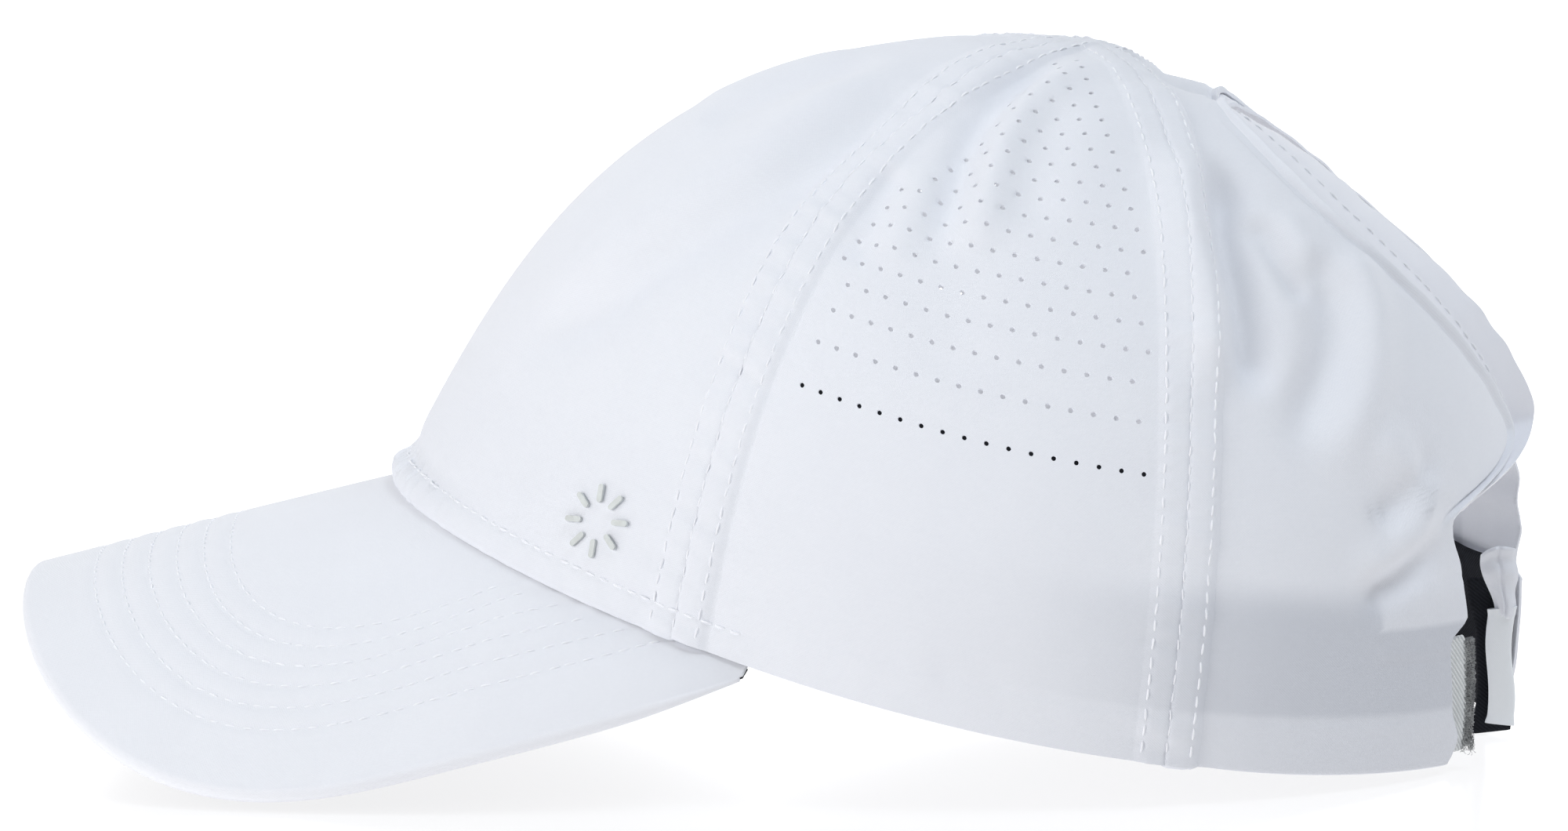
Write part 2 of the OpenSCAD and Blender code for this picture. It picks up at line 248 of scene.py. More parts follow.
def opening_half(t):
    u = clamp01((t - OPENING_FOOT) / (OPENING_TOP - OPENING_FOOT))
    widest = 0.75
    below = np.maximum(sind(90 * np.minimum(1, u / widest)), 0) ** 1.3
    above = np.sqrt(1 - clamp01((u - widest) / (1 - widest)) ** 4)
    half = (OPENING_NARROW_A + (OPENING_WIDE_A - OPENING_NARROW_A) * below) * above
    return np.where(t >= OPENING_TOP, 0, half)


def left_foot_end(t):
    """The left end beside the closure, which hangs upright."""
    return LEFT_END_A + 0.2 - LEFT_END_LEAN * np.minimum(t, 0.16)


def left_end(t):
    """Upright at the closure with a bulge over its tape, then round the opening."""
    bulge = TAPE_BULGE_A * smooth((t - 0.11) / 0.024) * (1 - 0.3 * smooth((t - 0.175) / 0.04))
    corner = 1.3 * bell(t - 0.022, 0.014) - 0.5 * bell(t, 0.004)
    foot = left_foot_end(t) + bulge + corner
    return lerp(foot, 180 - opening_half(t), smooth((t - CLOSURE_TOP) / 0.075))


def right_end(t):
    half = opening_half(t) * OPENING_RIGHT_SHARE
    return lerp(RIGHT_END_A, 180 - half, smooth((t - 0.2) / 0.1))


def degree_width(a, t, line):
    """The millimetres in one degree, measured squarely across a seam line."""
    across, along = crown_slopes(a, t)
    slope = (line(t + SHARE_STEP) - line(t - SHARE_STEP)) / (2 * SHARE_STEP)
    return length_of(np.cross(across, along)) / length_of(along + slope[..., None] * across)


def seam_distance(a, t, line):
    """Distance from a seam line across it, in millimetres, above 0 behind it."""
    return (a - line(t)) * degree_width(a, t, line)


def angle_beside(line, t, distance):
    """The direction that lies a distance in millimetres beside a seam line."""
    a = line(t)
    return a + distance / degree_width(a, t, line)


# ---- folds: soft valleys and ridges that every layer of the crown follows ----

class Fold:
    """A stroke over the left half: [direction, height share] points, width, height and lip.

    The lip is a ridge on the stroke's left (above 0) or right (below 0), as a share of the height.
    """

    def __init__(self, points, width, height, lip=0.0):
        knots = np.arange(len(points))
        at = np.linspace(0, len(points) - 1, 8 * len(points))
        a, t = (np.interp(at, knots, values) for values in zip(*points))
        for _ in range(6):
            for values in (a, t):
                values[1:-1] = (values[:-2] + 2 * values[1:-1] + values[2:]) / 4
        self.line = crown_point(a, t)
        self.normals = crown_normal(a, t)
        self.width = width
        self.height = height
        self.lip = lip

    def raised(self, points):
        """The height of the fold at each point."""
        reach = 4.5 * self.width
        low, high = self.line.min(0) - reach, self.line.max(0) + reach
        near = np.all((points > low) & (points < high), axis=-1)
        out = np.zeros(len(points))
        if not near.any():
            return out
        some = points[near]
        best = np.full(len(some), np.inf)
        side, place = np.zeros((2, len(some)))
        count = len(self.line) - 1
        for k in range(count):
            p = self.line[k]
            step = self.line[k + 1] - p
            s = clamp01((some - p) @ step / (step @ step))
            away = some - p - s[:, None] * step
            d = length_of(away)
            nearer = d < best
            leftwards = np.cross(self.normals[k], step)
            best[nearer] = d[nearer]
            side[nearer] = np.sign(away[nearer] @ leftwards)
            place[nearer] = (k + s[nearer]) / count
        ends = smooth(place / 0.22) * smooth((1 - place) / 0.22)
        shape = bell(best, self.width)
        if self.lip:
            centre = 1.7 * self.width * np.sign(self.lip)
            shape = shape - abs(self.lip) * bell(best * side - centre, 1.2 * self.width)
        out[near] = self.height * ends * shape
        return out


FOLDS = [
    Fold([(24, .18), (37, .30), (53, .53), (55.5, .64), (59, .84)], 6.0, -2.9, 0.7),
    Fold([(18, .56), (23, .67), (28, .80)], 6.5, -1.5, 0.5),
    Fold([(86, .92), (78.5, .81), (78.5, .72), (81, .60), (81.5, .47)], 3.4, -2.8, 0.6),
    Fold([(69.5, .62), (70.5, .55), (71.5, .45)], 3.2, -1.3, 0.5),
    Fold([(84.5, .55), (85.5, .44), (86.5, .34)], 7.5, -0.6),
    Fold([(94, .80), (92, .66), (93, .54)], 5.0, -0.9, 0.5),
    Fold([(129, .70), (122.5, .58), (122, .45), (120, .36)], 4.2, -4.0, -0.6),
    Fold([(128.5, .60), (130, .53), (131.5, .47)], 3.2, -2.0, 0.5),
    Fold([(135.5, .545), (136, .48), (132.5, .41), (123, .30)], 4.6, -3.0, 0.7),
    Fold([(135, .33), (140, .28), (144, .24)], 4.5, 1.6),
    Fold([(150.5, .233), (145, .211), (138, .18), (130, .155)], 3.0, -2.8, -0.5),
    Fold([(146, .30), (139, .26), (133, .235)], 3.0, -1.6, 0.4),
]
RIGHT_SHIFT = np.array([0, 4.0, -5.0])     # the right half's folds lie elsewhere and are lower
RIGHT_SHARE = 0.8
GATHER_PITCH = 9                           # gathers at the right end, in millimetres up the cloth


def slow_waves(points):
    """A gentle unevenness with waves of 30 to 70 mm."""
    rng = np.random.default_rng(7)
    total = np.zeros(len(points))
    for _ in range(9):
        direction = unit(rng.normal(size=3))
        wavelength = rng.uniform(30, 70)
        total += np.sin(points @ direction * 2 * math.pi / wavelength + rng.uniform(0, 6.3))
    return total / 9


def folded(a, t):
    """How far every layer is raised at a place, in millimetres."""
    a, t = np.broadcast_arrays(np.asarray(a, float), np.asarray(t, float))
    points = crown_point(a, t).reshape(-1, 3)
    angle, share = a.reshape(-1), t.reshape(-1)
    right = angle < 0
    mirrored = points * np.where(right[:, None], (-1, 1, 1), (1, 1, 1))
    mirrored = mirrored + np.where(right[:, None], RIGHT_SHIFT, 0)
    total = sum(fold.raised(mirrored) for fold in FOLDS) * np.where(right, RIGHT_SHARE, 1)
    left_corner = smooth((angle - 139) / 7) * bell(share - 0.225, 0.07)
    right_corner = bell(angle + RIGHT_END_A, 9) * bell(share - 0.2, 0.055)
    gathers = 1.6 - 0.5 * cosd((run_at(share) - 33.5) * 360 / GATHER_PITCH)
    total = total * (1 - left_corner) + right_corner * gathers + 0.7 * slow_waves(points)
    quiet = smooth((1 - share) / 0.10) * smooth(share / 0.05)
    return (total * quiet).reshape(a.shape)


# ---- relief: what the seams, hems and gathers do to the outer cloth ----

STITCH_OFFSET = 4.4            # from a seam's centre to each row of topstitching
STITCH_PITCH = 3.0
SEAM_HALF = 5.2                # half the width of the doubled cloth at a seam
PATCH_A = 134                  # where the left closure's patch starts, then its foot and top
PATCH_FOOT = 19
PATCH_TOP = 31
RIGHT_PATCH_A = 156


def seam_relief(d, run, lift, pucker, seed):
    """A flat-felled seam: a raised band with a ditch and a sunk row of stitches on each side."""
    band = lift * smooth((SEAM_HALF - np.abs(d)) / 0.8 + 0.3)
    ditch = -0.22 * bell(d, 0.45)
    pinch = 0.75 + 0.25 * cosd(run * 360 / STITCH_PITCH)
    rows = -0.3 * pinch * bell(np.abs(d) - STITCH_OFFSET, 0.55)
    gather = pucker * ripple(run + 0.25 * d, 5.4, seed) * bell(d, 5.5)
    fine = 0.5 * pucker * ripple(run - 0.4 * d, 3.1, seed + 1) * bell(np.abs(d) - 2.4, 1.9)
    long = 1.2 * pucker * ripple(run, 11.0, seed + 2) * bell(d, 9.5)
    return band + ditch + rows + gather + fine + long


def relief(a, t):
    """The outer cloth's own relief, in millimetres."""
    side = np.abs(a)
    h = run_at(t)
    front_d = seam_distance(side, t, front_seam)
    back_d = seam_distance(side, t, back_seam)
    left_seams, right_seams = (
        seam_relief(front_d, h, 0.42, 0.2, seed) + seam_relief(back_d, h, 0.5, 0.16, seed + 9)
        for seed in (3, 43)
    )
    total = np.where(a < 0, right_seams, left_seams)
    for away, depth, edge, reach in (      # the cloth sinks beside a seam's doubled band
        (back_d, 1.1, 1.6, 11), (front_d, 0.6, 1.4, 12), (-front_d, 0.3, 1.5, 10),
    ):
        past = away - SEAM_HALF
        total = total - depth * smooth(past / edge) * np.exp(-np.maximum(past, 0) / reach)
    total = total * smooth((1 - t) / 0.07)

    ends = np.where(a < 0, right_end(t), left_end(t))
    inside = np.maximum(ends - side, 0) * length_of(crown_slopes(side, t)[0])
    below_top = smooth((1 - t) / 0.05)
    open_here = smooth((t - 0.21) / 0.04) * below_top * smooth((OPENING_TOP + 0.02 - t) / 0.02)
    total = total + open_here * (
        0.7 * bell(inside - 0.8, 0.85)
        - 0.7 * bell(inside - 3.1, 1.1)
        + 0.14 * ripple(h, 7, 21) * bell(inside - 3, 4)
    )
    closed_here = smooth((t - OPENING_TOP) / 0.02) * below_top
    total = total + closed_here * (
        -0.5 * bell(inside, 0.5) + 0.25 * ripple(h, 4.5, 31) * bell(inside, 6)
    )

    behind_bill = smooth((side - BILL_END_A - 2) / 3)
    total = total + behind_bill * (
        0.16 * smooth((HEM_H - h) / 1.1) + 0.07 * ripple(side * 1.6, 9, 51) * bell(h - HEM_H, 4)
    )
    wide = ripple(side * 1.25 + np.where(a < 0, 77, 0), 4.1, 61)      # the hem's gathers
    narrow = ripple(side * 1.7 + np.where(a < 0, 55, 0), 2.1, 63)
    total = total + (1 - behind_bill) * bell(side, 60) * (
        0.3 * smooth((5.4 - h) / 0.7)
        - 0.28 * bell(h - 4.8, 0.5)
        + 0.5 * wide * bell(h - 2.5, 3.4) * bell(side, 30)
        + 0.6 * narrow * bell(h - 4.2, 3.0) * bell(side, 27)
        + 1.2 * bell(side, 34) * bell(h - 2.0, 2.2)
        - 0.5 * bell(side, 34) * bell(h - 7.5, 2.4)
        + 0.16 * ripple(side * 1.4, 6.5, 62) * bell(h - 4, 5)
    )
    foot, top = share_at(140, PATCH_FOOT), share_at(140, PATCH_TOP)
    over_patch = smooth((side - PATCH_A + 0.5) / 0.7) * smooth((top - t) / 0.005)
    return total + 0.35 * over_patch * smooth((t - foot) / 0.005)


def crown_surface(a, t, depth=0.0, detail=True):
    """A place at a depth inside the outer cloth, with the folds and, outside, the relief."""
    out = folded(a, t) - depth
    if detail:
        out = out + relief(a, t)
    return crown_point(a, t) + out[..., None] * crown_normal(a, t)


# ---- meshes ----

def grid_faces(rows, cols, flip=False):
    """Quads of a grid whose rows go up and columns go towards larger directions."""
    first = (np.arange(rows - 1)[:, None] * cols + np.arange(cols - 1)[None, :]).reshape(-1)
    quads = np.stack([first, first + 1, first + cols + 1, first + cols], 1)
    return quads[:, ::-1] if flip else quads


def border_edges(faces):
    """The edges that one face alone uses, each in that face's order."""
    edges = np.concatenate([
        np.stack([faces[:, k], faces[:, (k + 1) % faces.shape[1]]], 1)
        for k in range(faces.shape[1])
    ])
    count = faces.max() + 1
    codes = edges[:, 0] * count + edges[:, 1]
    turned = edges[:, 1] * count + edges[:, 0]
    return edges[~np.isin(codes, turned)]


def closed(outer, inner, faces, roundness=0.45):
    """A solid between two matching sheets, with its edge rounded outwards."""
    count = len(outer)
    edges = border_edges(faces)
    rim = np.unique(edges)
    seat = np.full(count, -1)
    seat[rim] = np.arange(len(rim))
    tips = outer[edges[:, 1]] - outer[edges[:, 0]]
    normals = unit(outer[edges[:, 0]] - inner[edges[:, 0]])
    outwards = np.zeros((len(rim), 3))
    for k in (0, 1):
        np.add.at(outwards, seat[edges[:, k]], np.cross(tips, normals))
    thickness = length_of(outer[rim] - inner[rim])
    middle = (outer[rim] + inner[rim]) / 2 + unit(outwards) * (roundness * thickness)[:, None]
    p, q = edges[:, 0], edges[:, 1]
    mp, mq = 2 * count + seat[p], 2 * count + seat[q]
    walls = np.concatenate([
        np.stack([q, p, mp, mq], 1), np.stack([mq, mp, p + count, q + count], 1)
    ])
    points = np.concatenate([outer, inner, middle])
    return points, faces.tolist() + (faces[:, ::-1] + count).tolist() + walls.tolist(), rim


def add_object(name, data):
    thing = bpy.data.objects.new(name, data)
    bpy.context.scene.collection.objects.link(thing)
    return thing


def make_piece(name, points, faces, material, nodes=(), body=CAP, weave=None, extra=None):
    """A mesh in metres that rides a body and stands for CAD nodes."""
    mesh = bpy.data.meshes.new(name)
    mesh.from_pydata((np.asarray(points) * MM).tolist(), [], faces)
    if weave is not None:
        layer = mesh.attributes.new("weave", "FLOAT_VECTOR", "POINT")
        layer.data.foreach_set("vector", np.asarray(weave, np.float32).reshape(-1))
    # extra carries where the sweatband shows through the cloth, with painted shade towards the back
    if extra is not None:
        layer = mesh.attributes.new("sweatband_and_shade", "FLOAT", "POINT")
        layer.data.foreach_set("value", np.asarray(extra, np.float32))
    mesh.shade_smooth()
    mesh.set_sharp_from_angle(angle=math.radians(62))
    mesh.materials.append(material)
    piece = add_object(name, mesh)
    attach(piece, body)
    if nodes:
        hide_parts(*nodes)
    return piece


def sheet_piece(name, outer, inner, faces, weave, material, nodes=(), body=CAP,
                roundness=0.45, shift=(0, 0, 0), extra=None):
    """A closed piece between two matching sheets, with the inner one's weave shifted."""
    points, all_faces, rim = closed(outer, inner, faces, roundness)
    weave = np.concatenate([weave, weave + shift, weave[rim]])
    if extra is not None:
        extra = np.concatenate([extra, extra, extra[rim]])
    return make_piece(name, points, all_faces, material, nodes, body, weave, extra)


def ring_faces(rings, sides, first=0):
    """The faces round a stack of rings and over its two ends."""
    faces = []
    for i in range(rings - 1):
        low = first + i * sides
        for j in range(sides):
            k = (j + 1) % sides
            faces.append((low + j, low + k, low + sides + k, low + sides + j))
    last = first + (rings - 1) * sides
    faces.append(tuple(reversed(range(first, first + sides))))
    faces.append(tuple(range(last, last + sides)))
    return faces


def sweatband_and_shade_at(a, t):
    """Towards 1 where the sweatband shows through the cloth above the hem, with painted shade
    towards the back.
    """
    h = run_at(t)
    far = np.abs(a)
    wavy = SWEATBAND_H + 0.8 * sind(far * 7)
    above_hem = smooth((h - HEM_H) / 1.6)
    shown = 0.58 * above_hem * smooth((wavy - h) / 8) + 0.42 * smooth((wavy - h) / 6)
    patch = smooth((a - PATCH_A) / 0.6) + smooth((-a - RIGHT_PATCH_A) / 0.6)
    patch = patch * smooth((h - 22.8) / 0.7)
    # painted shade: this last factor darkens the cloth towards the back and hardly at all in front
    return shown * (1 - 0.75 * patch) * (0.04 + 0.96 * smooth((far - 90) / 35))


def median_weave(a, t):
    """The cloth's own coordinates: millimetres round the crown and up it."""
    return stack(a * np.median(length_of(crown_slopes(a, t)[0])), run_at(t), 0 * t)


def cloth_panel(name, a, t, faces, material, roundness=0.45):
    """A panel of the crown over flat arrays of directions and shares."""
    outer = crown_surface(a, t)
    inner = crown_surface(a, t, PANEL_T, False)
    return sheet_piece(name, outer, inner, faces, median_weave(a, t), material,
                       [name], roundness=roundness, shift=(40, 40, 0), extra=sweatband_and_shade_at(a, t))


FINE_STEP = 0.5                # between a panel's columns near its seams, then how near
FINE_EDGE = 8


def spaced(width, step):
    """Shares from 0 to 1 across a width, closer together near both sides."""
    at = [0.0]
    while at[-1] < width:
        near = min(at[-1], width - at[-1])
        at.append(at[-1] + (FINE_STEP if near < FINE_EDGE else step))
    return np.array(at) / at[-1]


ROW_SHARES = np.concatenate([np.linspace(0, 0.06, 22)[:-1], np.linspace(0.06, TOP_SHARE, 170)])


def panel_places(start, end, columns):
    """Directions and shares of a panel's grid, with its rows shared by its neighbours."""
    t = np.repeat(ROW_SHARES[:, None], len(columns), 1)
    a = lerp(start(t), end(t), columns[None, :])
    return a, t


def front_columns():
    """Closer together at the seams and in the middle, where the hem is gathered."""
    s = np.linspace(0, 1, 261)
    return s - 0.04 * np.sin(4 * math.pi * s)


def plain_panel(name, start, end, columns, material):
    a, t = panel_places(start, end, columns)
    return cloth_panel(name, a.reshape(-1), t.reshape(-1), grid_faces(*a.shape), material)


# ---- perforated side panels ----

HOLE_R = 0.48
HOLE_PITCH = 3.8
HOLE_SIDES = 10
ROW_SPACING = 4.15
ROW_SPACING_EXTRA = 4.4        # the lowest rows lie further apart
ROW_SPACING_DECAY = 0.55
ROW_SLOPE = -0.05
FIRST_ROW_SHARE = 0.29
LAST_ROW_SHARE = 0.885
FIRST_ROW_A = (68.3, 108)      # the directions that the holes keep between
ROWS_A = (69, 110)
ROWS_LEAN_A = 20               # how far the zone's front leans back towards its top
FRONT_MARGIN = 7.8             # from a seam to the nearest holes
BACK_MARGIN = 7.3
FIRST_ROW_MARGIN = 6.4
SIDE_MIDDLE_A = 88
WIDTHS = length_of(crown_slopes(np.full(len(SHARES), float(SIDE_MIDDLE_A)), SHARES)[0])


def flat_of(a, t):
    """Side-panel places on a flat pattern, in millimetres."""
    return (a - SIDE_MIDDLE_A) * np.interp(t, SHARES, WIDTHS), run_at(t)


def place_of(x, y):
    t = np.interp(y, SIDE_RUN, SHARES)
    return SIDE_MIDDLE_A + x / np.interp(t, SHARES, WIDTHS), t


def hole_centres():
    """Staggered rows inside the perforated zone, as flat pattern points."""
    centres = []
    y = float(run_at(FIRST_ROW_SHARE))
    row = 0
    while y < run_at(LAST_ROW_SHARE):
        for k in range(-20, 21):
            x = (k + (0.5 if row % 2 else 0)) * HOLE_PITCH + 1.2
            v = y + ROW_SLOPE * x
            a, t = place_of(x, v)
            first_a, last_a = ROWS_A if row else FIRST_ROW_A
            margin = BACK_MARGIN if row else FIRST_ROW_MARGIN
            if row:
                first_a = first_a + ROWS_LEAN_A * smooth((t - 0.42) / 0.62)
            after_front = seam_distance(a, t, front_seam)
            before_back = -seam_distance(a, t, back_seam)
            if first_a < a < last_a and after_front > FRONT_MARGIN and before_back > margin:
                centres.append((x, v))
        y += ROW_SPACING + ROW_SPACING_EXTRA * ROW_SPACING_DECAY ** row
        row += 1
    return np.array(centres)


def perforated_panel(name, mirrored, material):
    """A side panel with real holes, triangulated on its flat pattern."""
    a, t = panel_places(front_seam, back_seam, spaced(72, 1.05))
    x, y = flat_of(a.reshape(-1), t.reshape(-1))
    centres = hole_centres()
    border = np.zeros(a.shape, bool)
    border[0] = border[-1] = True
    border[:, 0] = border[:, -1] = True
    gap = np.full(len(x), np.inf)
    for cx, cy in centres:
        gap = np.minimum(gap, (x - cx) ** 2 + (y - cy) ** 2)
    keep = border.reshape(-1) | (gap > (1.75 * HOLE_R) ** 2)
    grid = np.stack([x[keep], y[keep]], 1)
    turns = np.arange(HOLE_SIDES) * 360 / HOLE_SIDES
    ring = HOLE_R * stack(cosd(turns), sind(turns))
    rings = (centres[:, None, :] + ring[None, :, :]).reshape(-1, 2)
    flat = np.concatenate([grid, rings])
    first = len(grid) + np.arange(len(centres))[:, None] * HOLE_SIDES
    index = np.arange(HOLE_SIDES)[None, :]
    edges = np.stack([first + index, first + (index + 1) % HOLE_SIDES], -1).reshape(-1, 2)
    found = delaunay_2d_cdt([Vector(p) for p in flat.tolist()], edges.tolist(), [], 0, 1e-6)
    flat = np.array([tuple(p) for p in found[0]])
    faces = np.array([tuple(f) for f in found[2]])
    came_from = np.array([min(ids) if ids else -1 for ids in found[3]])
    hole_id = np.where(came_from >= len(grid), (came_from - len(grid)) // HOLE_SIDES, -1)
    ids = hole_id[faces]
    in_hole = (ids[:, 0] >= 0) & (ids[:, 0] == ids[:, 1]) & (ids[:, 1] == ids[:, 2])
    middle_a, middle_t = place_of(*flat[faces].mean(1).T)
    outside = (middle_a < front_seam(middle_t)) | (middle_a > back_seam(middle_t))
    faces = faces[~in_hole & ~outside]
    area = np.cross(flat[faces[:, 1]] - flat[faces[:, 0]], flat[faces[:, 2]] - flat[faces[:, 0]])
    faces = faces[np.abs(area) > 1e-7]
    a, t = place_of(flat[:, 0], flat[:, 1])
    t = np.clip(t, 0, TOP_SHARE)
    if mirrored:
        a = -a
        faces = faces[:, ::-1]
    return cloth_panel(name, a, t, faces, material, roundness=0.12)


# ---- pieces inside the crown and round its edges ----

def strip_places(place, cols, rows):
    """A strip's flat places; place(u, v) gives directions, shares and depths for its grid."""
    u, v = unit_grid(cols + 1, rows + 1)
    return ((np.asarray(x, float) + 0 * u).reshape(-1) for x in place(u, v))


def crown_strip(name, place, cols, rows, depth, thickness, material, mirrored=False,
                roundness=0.45, bumps=None):
    """A closed strip inside the crown that follows its folds."""
    a, t, extra = strip_places(place, cols, rows)
    if mirrored:
        a = -a
    lifted = folded(a, t)
    if bumps is not None:
        lifted = lifted + bumps(a, t).reshape(-1)
    base, normal = crown_point(a, t), crown_normal(a, t)
    outer, inner = (
        base + (lifted - depth - extra - deep)[:, None] * normal for deep in (0, thickness)
    )
    faces = grid_faces(rows + 1, cols + 1, mirrored)
    return sheet_piece(name, outer, inner, faces, median_weave(a, t), material, [name],
                       roundness=roundness, shift=(31, 17, 0))


def band_place(a0, a1, h0, h1):
    """A strip between two directions and two heights above the rim."""
    def place(u, v):
        a = lerp(a0, a1, u)
        return a, share_at(a, lerp(h0, h1, v)), 0 * a
    return place


TAPE_DEPTH = 1.0
TAPE_T = 0.4
SEAM_TAPE_W = 9
BAND_DEPTH = 0.78
BAND_FOOT = 0.235
BAND_T = 0.9
BAND_IN = 1.7                  # the sweatband's depth inside the outer cloth
PAD_END_A = 56


def seam_tape(name, line, mirrored, material):
    """A taped seam inside the crown, with a puckered surface."""
    def place(u, v):
        t = lerp(float(share_at(90, HEM_H + 1)), 0.945, v)
        scale = length_of(crown_slopes(line(t), t)[0])
        half = np.minimum(9, SEAM_TAPE_W / 2 / scale)
        return line(t) + lerp(-half, half, u), t, 0 * t
    crown_strip(name, place, 8, 120, TAPE_DEPTH, TAPE_T, material, mirrored,
                bumps=lambda a, t: -0.12 * (1 + ripple(run_at(t), 5.4, 8)))


def opening_edge(line, t):
    """The panel's edge and the binding's free edge; the far binding hides behind the near one."""
    edge = line(np.minimum(t, OPENING_TOP - 0.015))
    share = 0.5 if line is left_end else 0.3
    taper = 0.12 + 0.88 * smooth((t - BAND_FOOT) / 0.07)
    return edge, edge + (180 - edge) * share * taper


def opening_extra(line, a, t):
    """Depth of the binding, which flares outwards at the opening's foot."""
    edge, free = opening_edge(line, t)
    out = clamp01((a - edge) / np.maximum(free - edge, 1e-6))
    above_foot = clamp01((t - OPENING_FOOT) / (OPENING_TOP - 0.015 - OPENING_FOOT))
    flare = lerp(BAND_FLARES[0], BAND_FLARES[1], smooth(above_foot / 0.6))
    flare = flare * smooth((t - BAND_FOOT) / 0.075)
    return -flare * out ** 2


def opening_bumps(line, a, t):
    """Gathers along the binding and its sunk row of stitches."""
    edge, free = opening_edge(line, t)
    out = clamp01((np.abs(a) - edge) / np.maximum(free - edge, 1e-6))
    return 0.22 * out * ripple(run_at(t), 9, 15) - 0.22 * bell(out - 0.4, 0.12)


def opening_band(name, line, mirrored, material):
    """The folded binding that edges the ponytail opening."""
    def place(u, v):
        t = lerp(BAND_FOOT, OPENING_TOP + 0.012, v)
        edge, free = opening_edge(line, t)
        a = lerp(edge - 2, free, u)
        return a, t, opening_extra(line, a, t)
    crown_strip(name, place, 14, 150, BAND_DEPTH, BAND_T, material, mirrored,
                roundness=0.55, bumps=lambda a, t: opening_bumps(line, a, t))


def pad_room(a):
    return PAD_ROOM * (1 - smooth((np.abs(a) - 58) / 12))


def sweatband_place(u, v):
    """The sweatband runs lower towards both ends of the closure."""
    left = left_foot_end(share_at(LEFT_END_A, SWEATBAND_H * v)) - 0.5
    a = lerp(-RIGHT_END_A, left, u)
    top = SWEATBAND_H - 6 * smooth((np.abs(a) - 132) / 30) - 2.2 * bell(np.abs(a) - 65, 8)
    return a, share_at(a, lerp(0.4, top, v)), pad_room(a)


def make_inside(materials):
    cloth, binding = materials["panel"], materials["binding"]
    for side, mirrored in (("left", False), ("right", True)):
        seam_tape("front_seam_tape_" + side, front_seam, mirrored, binding)
        seam_tape("back_seam_tape_" + side, back_seam, mirrored, binding)
    opening_band("opening_band_left", left_end, False, binding)
    opening_band("opening_band_right", right_end, True, binding)
    facings = (                # directions, heights, columns and rows
        ("rim_facing_left", BILL_END_A + 1, LEFT_END_A - 1.5, 0.3, HEM_H, 90, 6),
        ("rim_facing_right", -RIGHT_END_A, -BILL_END_A - 1, 0.3, HEM_H, 110, 6),
        ("bill_seam_tape", -BILL_END_A, BILL_END_A, 0.3, HEM_H, 130, 6),
        ("closure_patch_left", PATCH_A, LEFT_END_A - 3.2, PATCH_FOOT, PATCH_TOP, 16, 10),
        ("closure_patch_right", -RIGHT_END_A + 1, -RIGHT_PATCH_A, 17, 26, 16, 10),
    )
    for name, a0, a1, h0, h1, cols, rows in facings:
        crown_strip(name, band_place(a0, a1, h0, h1), cols, rows, TAPE_DEPTH, TAPE_T, cloth)

    def ribs(a, t):
        h = run_at(t)
        return -0.14 * bell(np.mod(h, 4.0) - 2.0, 0.45) + 0.12 * ripple(a * 1.5, 8, 71)
    crown_strip("sweatband", sweatband_place, 360, 44, BAND_IN, 0.9, materials["black"],
                bumps=ribs)

    def quilted(a, t):
        return 0.12 * sind(run_at(t) * 60) * (1 - (np.abs(a) / PAD_END_A) ** 4)
    pad = crown_strip(
        "forehead_pad", band_place(-PAD_END_A, PAD_END_A, 3, SWEATBAND_H - 4), 120, 26, BAND_IN,
        1.4, materials["pad"], roundness=0.5, bumps=quilted,
    )
    crown_strip("care_label", band_place(116, 130, 12, 30), 18, 14, 2.9, TAPE_T, materials["label"])


# ---- bill ----

BILL_ROOT = np.array([0, RIM_CENTRE_Y - RIM_HALF_L, RIM_LIFT])
BILL_FORWARD = np.array([0, -cosd(BILL_SLOPE), -sind(BILL_SLOPE)])
BILL_UP = np.array([0, -sind(BILL_SLOPE), cosd(BILL_SLOPE)])
BILL_CLOTH_T = 0.5
BILL_ROWS = 84                 # of the covers' grids
ROW_COUNT = 6                  # the bill's stitch rows
ROW_INSET = 13.5
ROW_PITCH = 5.0


def arch_point(s, f):
    turn = np.degrees(s / BILL_RADIUS)
    return (
        BILL_ROOT
        + stack(BILL_RADIUS * sind(turn), 0, 0)
        + f[..., None] * BILL_FORWARD
        - (BILL_RADIUS * (1 - cosd(turn)))[..., None] * BILL_UP
    )


def on_arch(p):
    turn = np.degrees(np.arcsin(p[..., 0] / BILL_RADIUS))
    drop = BILL_RADIUS * (1 - cosd(turn))
    forward = (BILL_ROOT[1] - p[..., 1] + drop * sind(BILL_SLOPE)) / cosd(BILL_SLOPE)
    return BILL_RADIUS * np.radians(turn), forward


def root_line(u):
    n = crown_normal(u * BILL_END_A, 0 * u)
    return rim_point(u * BILL_END_A) - TAPE_DEPTH * unit(n * (1, 1, 0)) - (0, 0, 0.2)


CORNER_ROOT = root_line(np.array([1.0]))
CORNER_S, CORNER_F = (float(x[0]) for x in on_arch(CORNER_ROOT))
CORNER_ON_ARCH = arch_point(np.array([CORNER_S]), np.array([CORNER_F]))
CORNER_DROP = float(CORNER_ROOT[0, 2] - CORNER_ON_ARCH[0, 2])
CORNER = (CORNER_S + 2.4, CORNER_F + 1.6)


def bill_outline(u):
    turn = 90 * np.minimum(1, u / BILL_SPLIT)
    k = clamp01((u - BILL_SPLIT) / (1 - BILL_SPLIT))
    front_s = BILL_HALF_W * np.maximum(sind(turn), 0) ** (2 / BILL_POWER)
    front_f = BILL_REACH * np.maximum(cosd(turn), 0) ** (2 / BILL_POWER)
    side = u >= BILL_SPLIT
    s = np.where(side, lerp(BILL_HALF_W, CORNER[0], k ** 2.3), front_s)
    f = np.where(side, CORNER[1] * k, front_f)
    return s, f, k * k


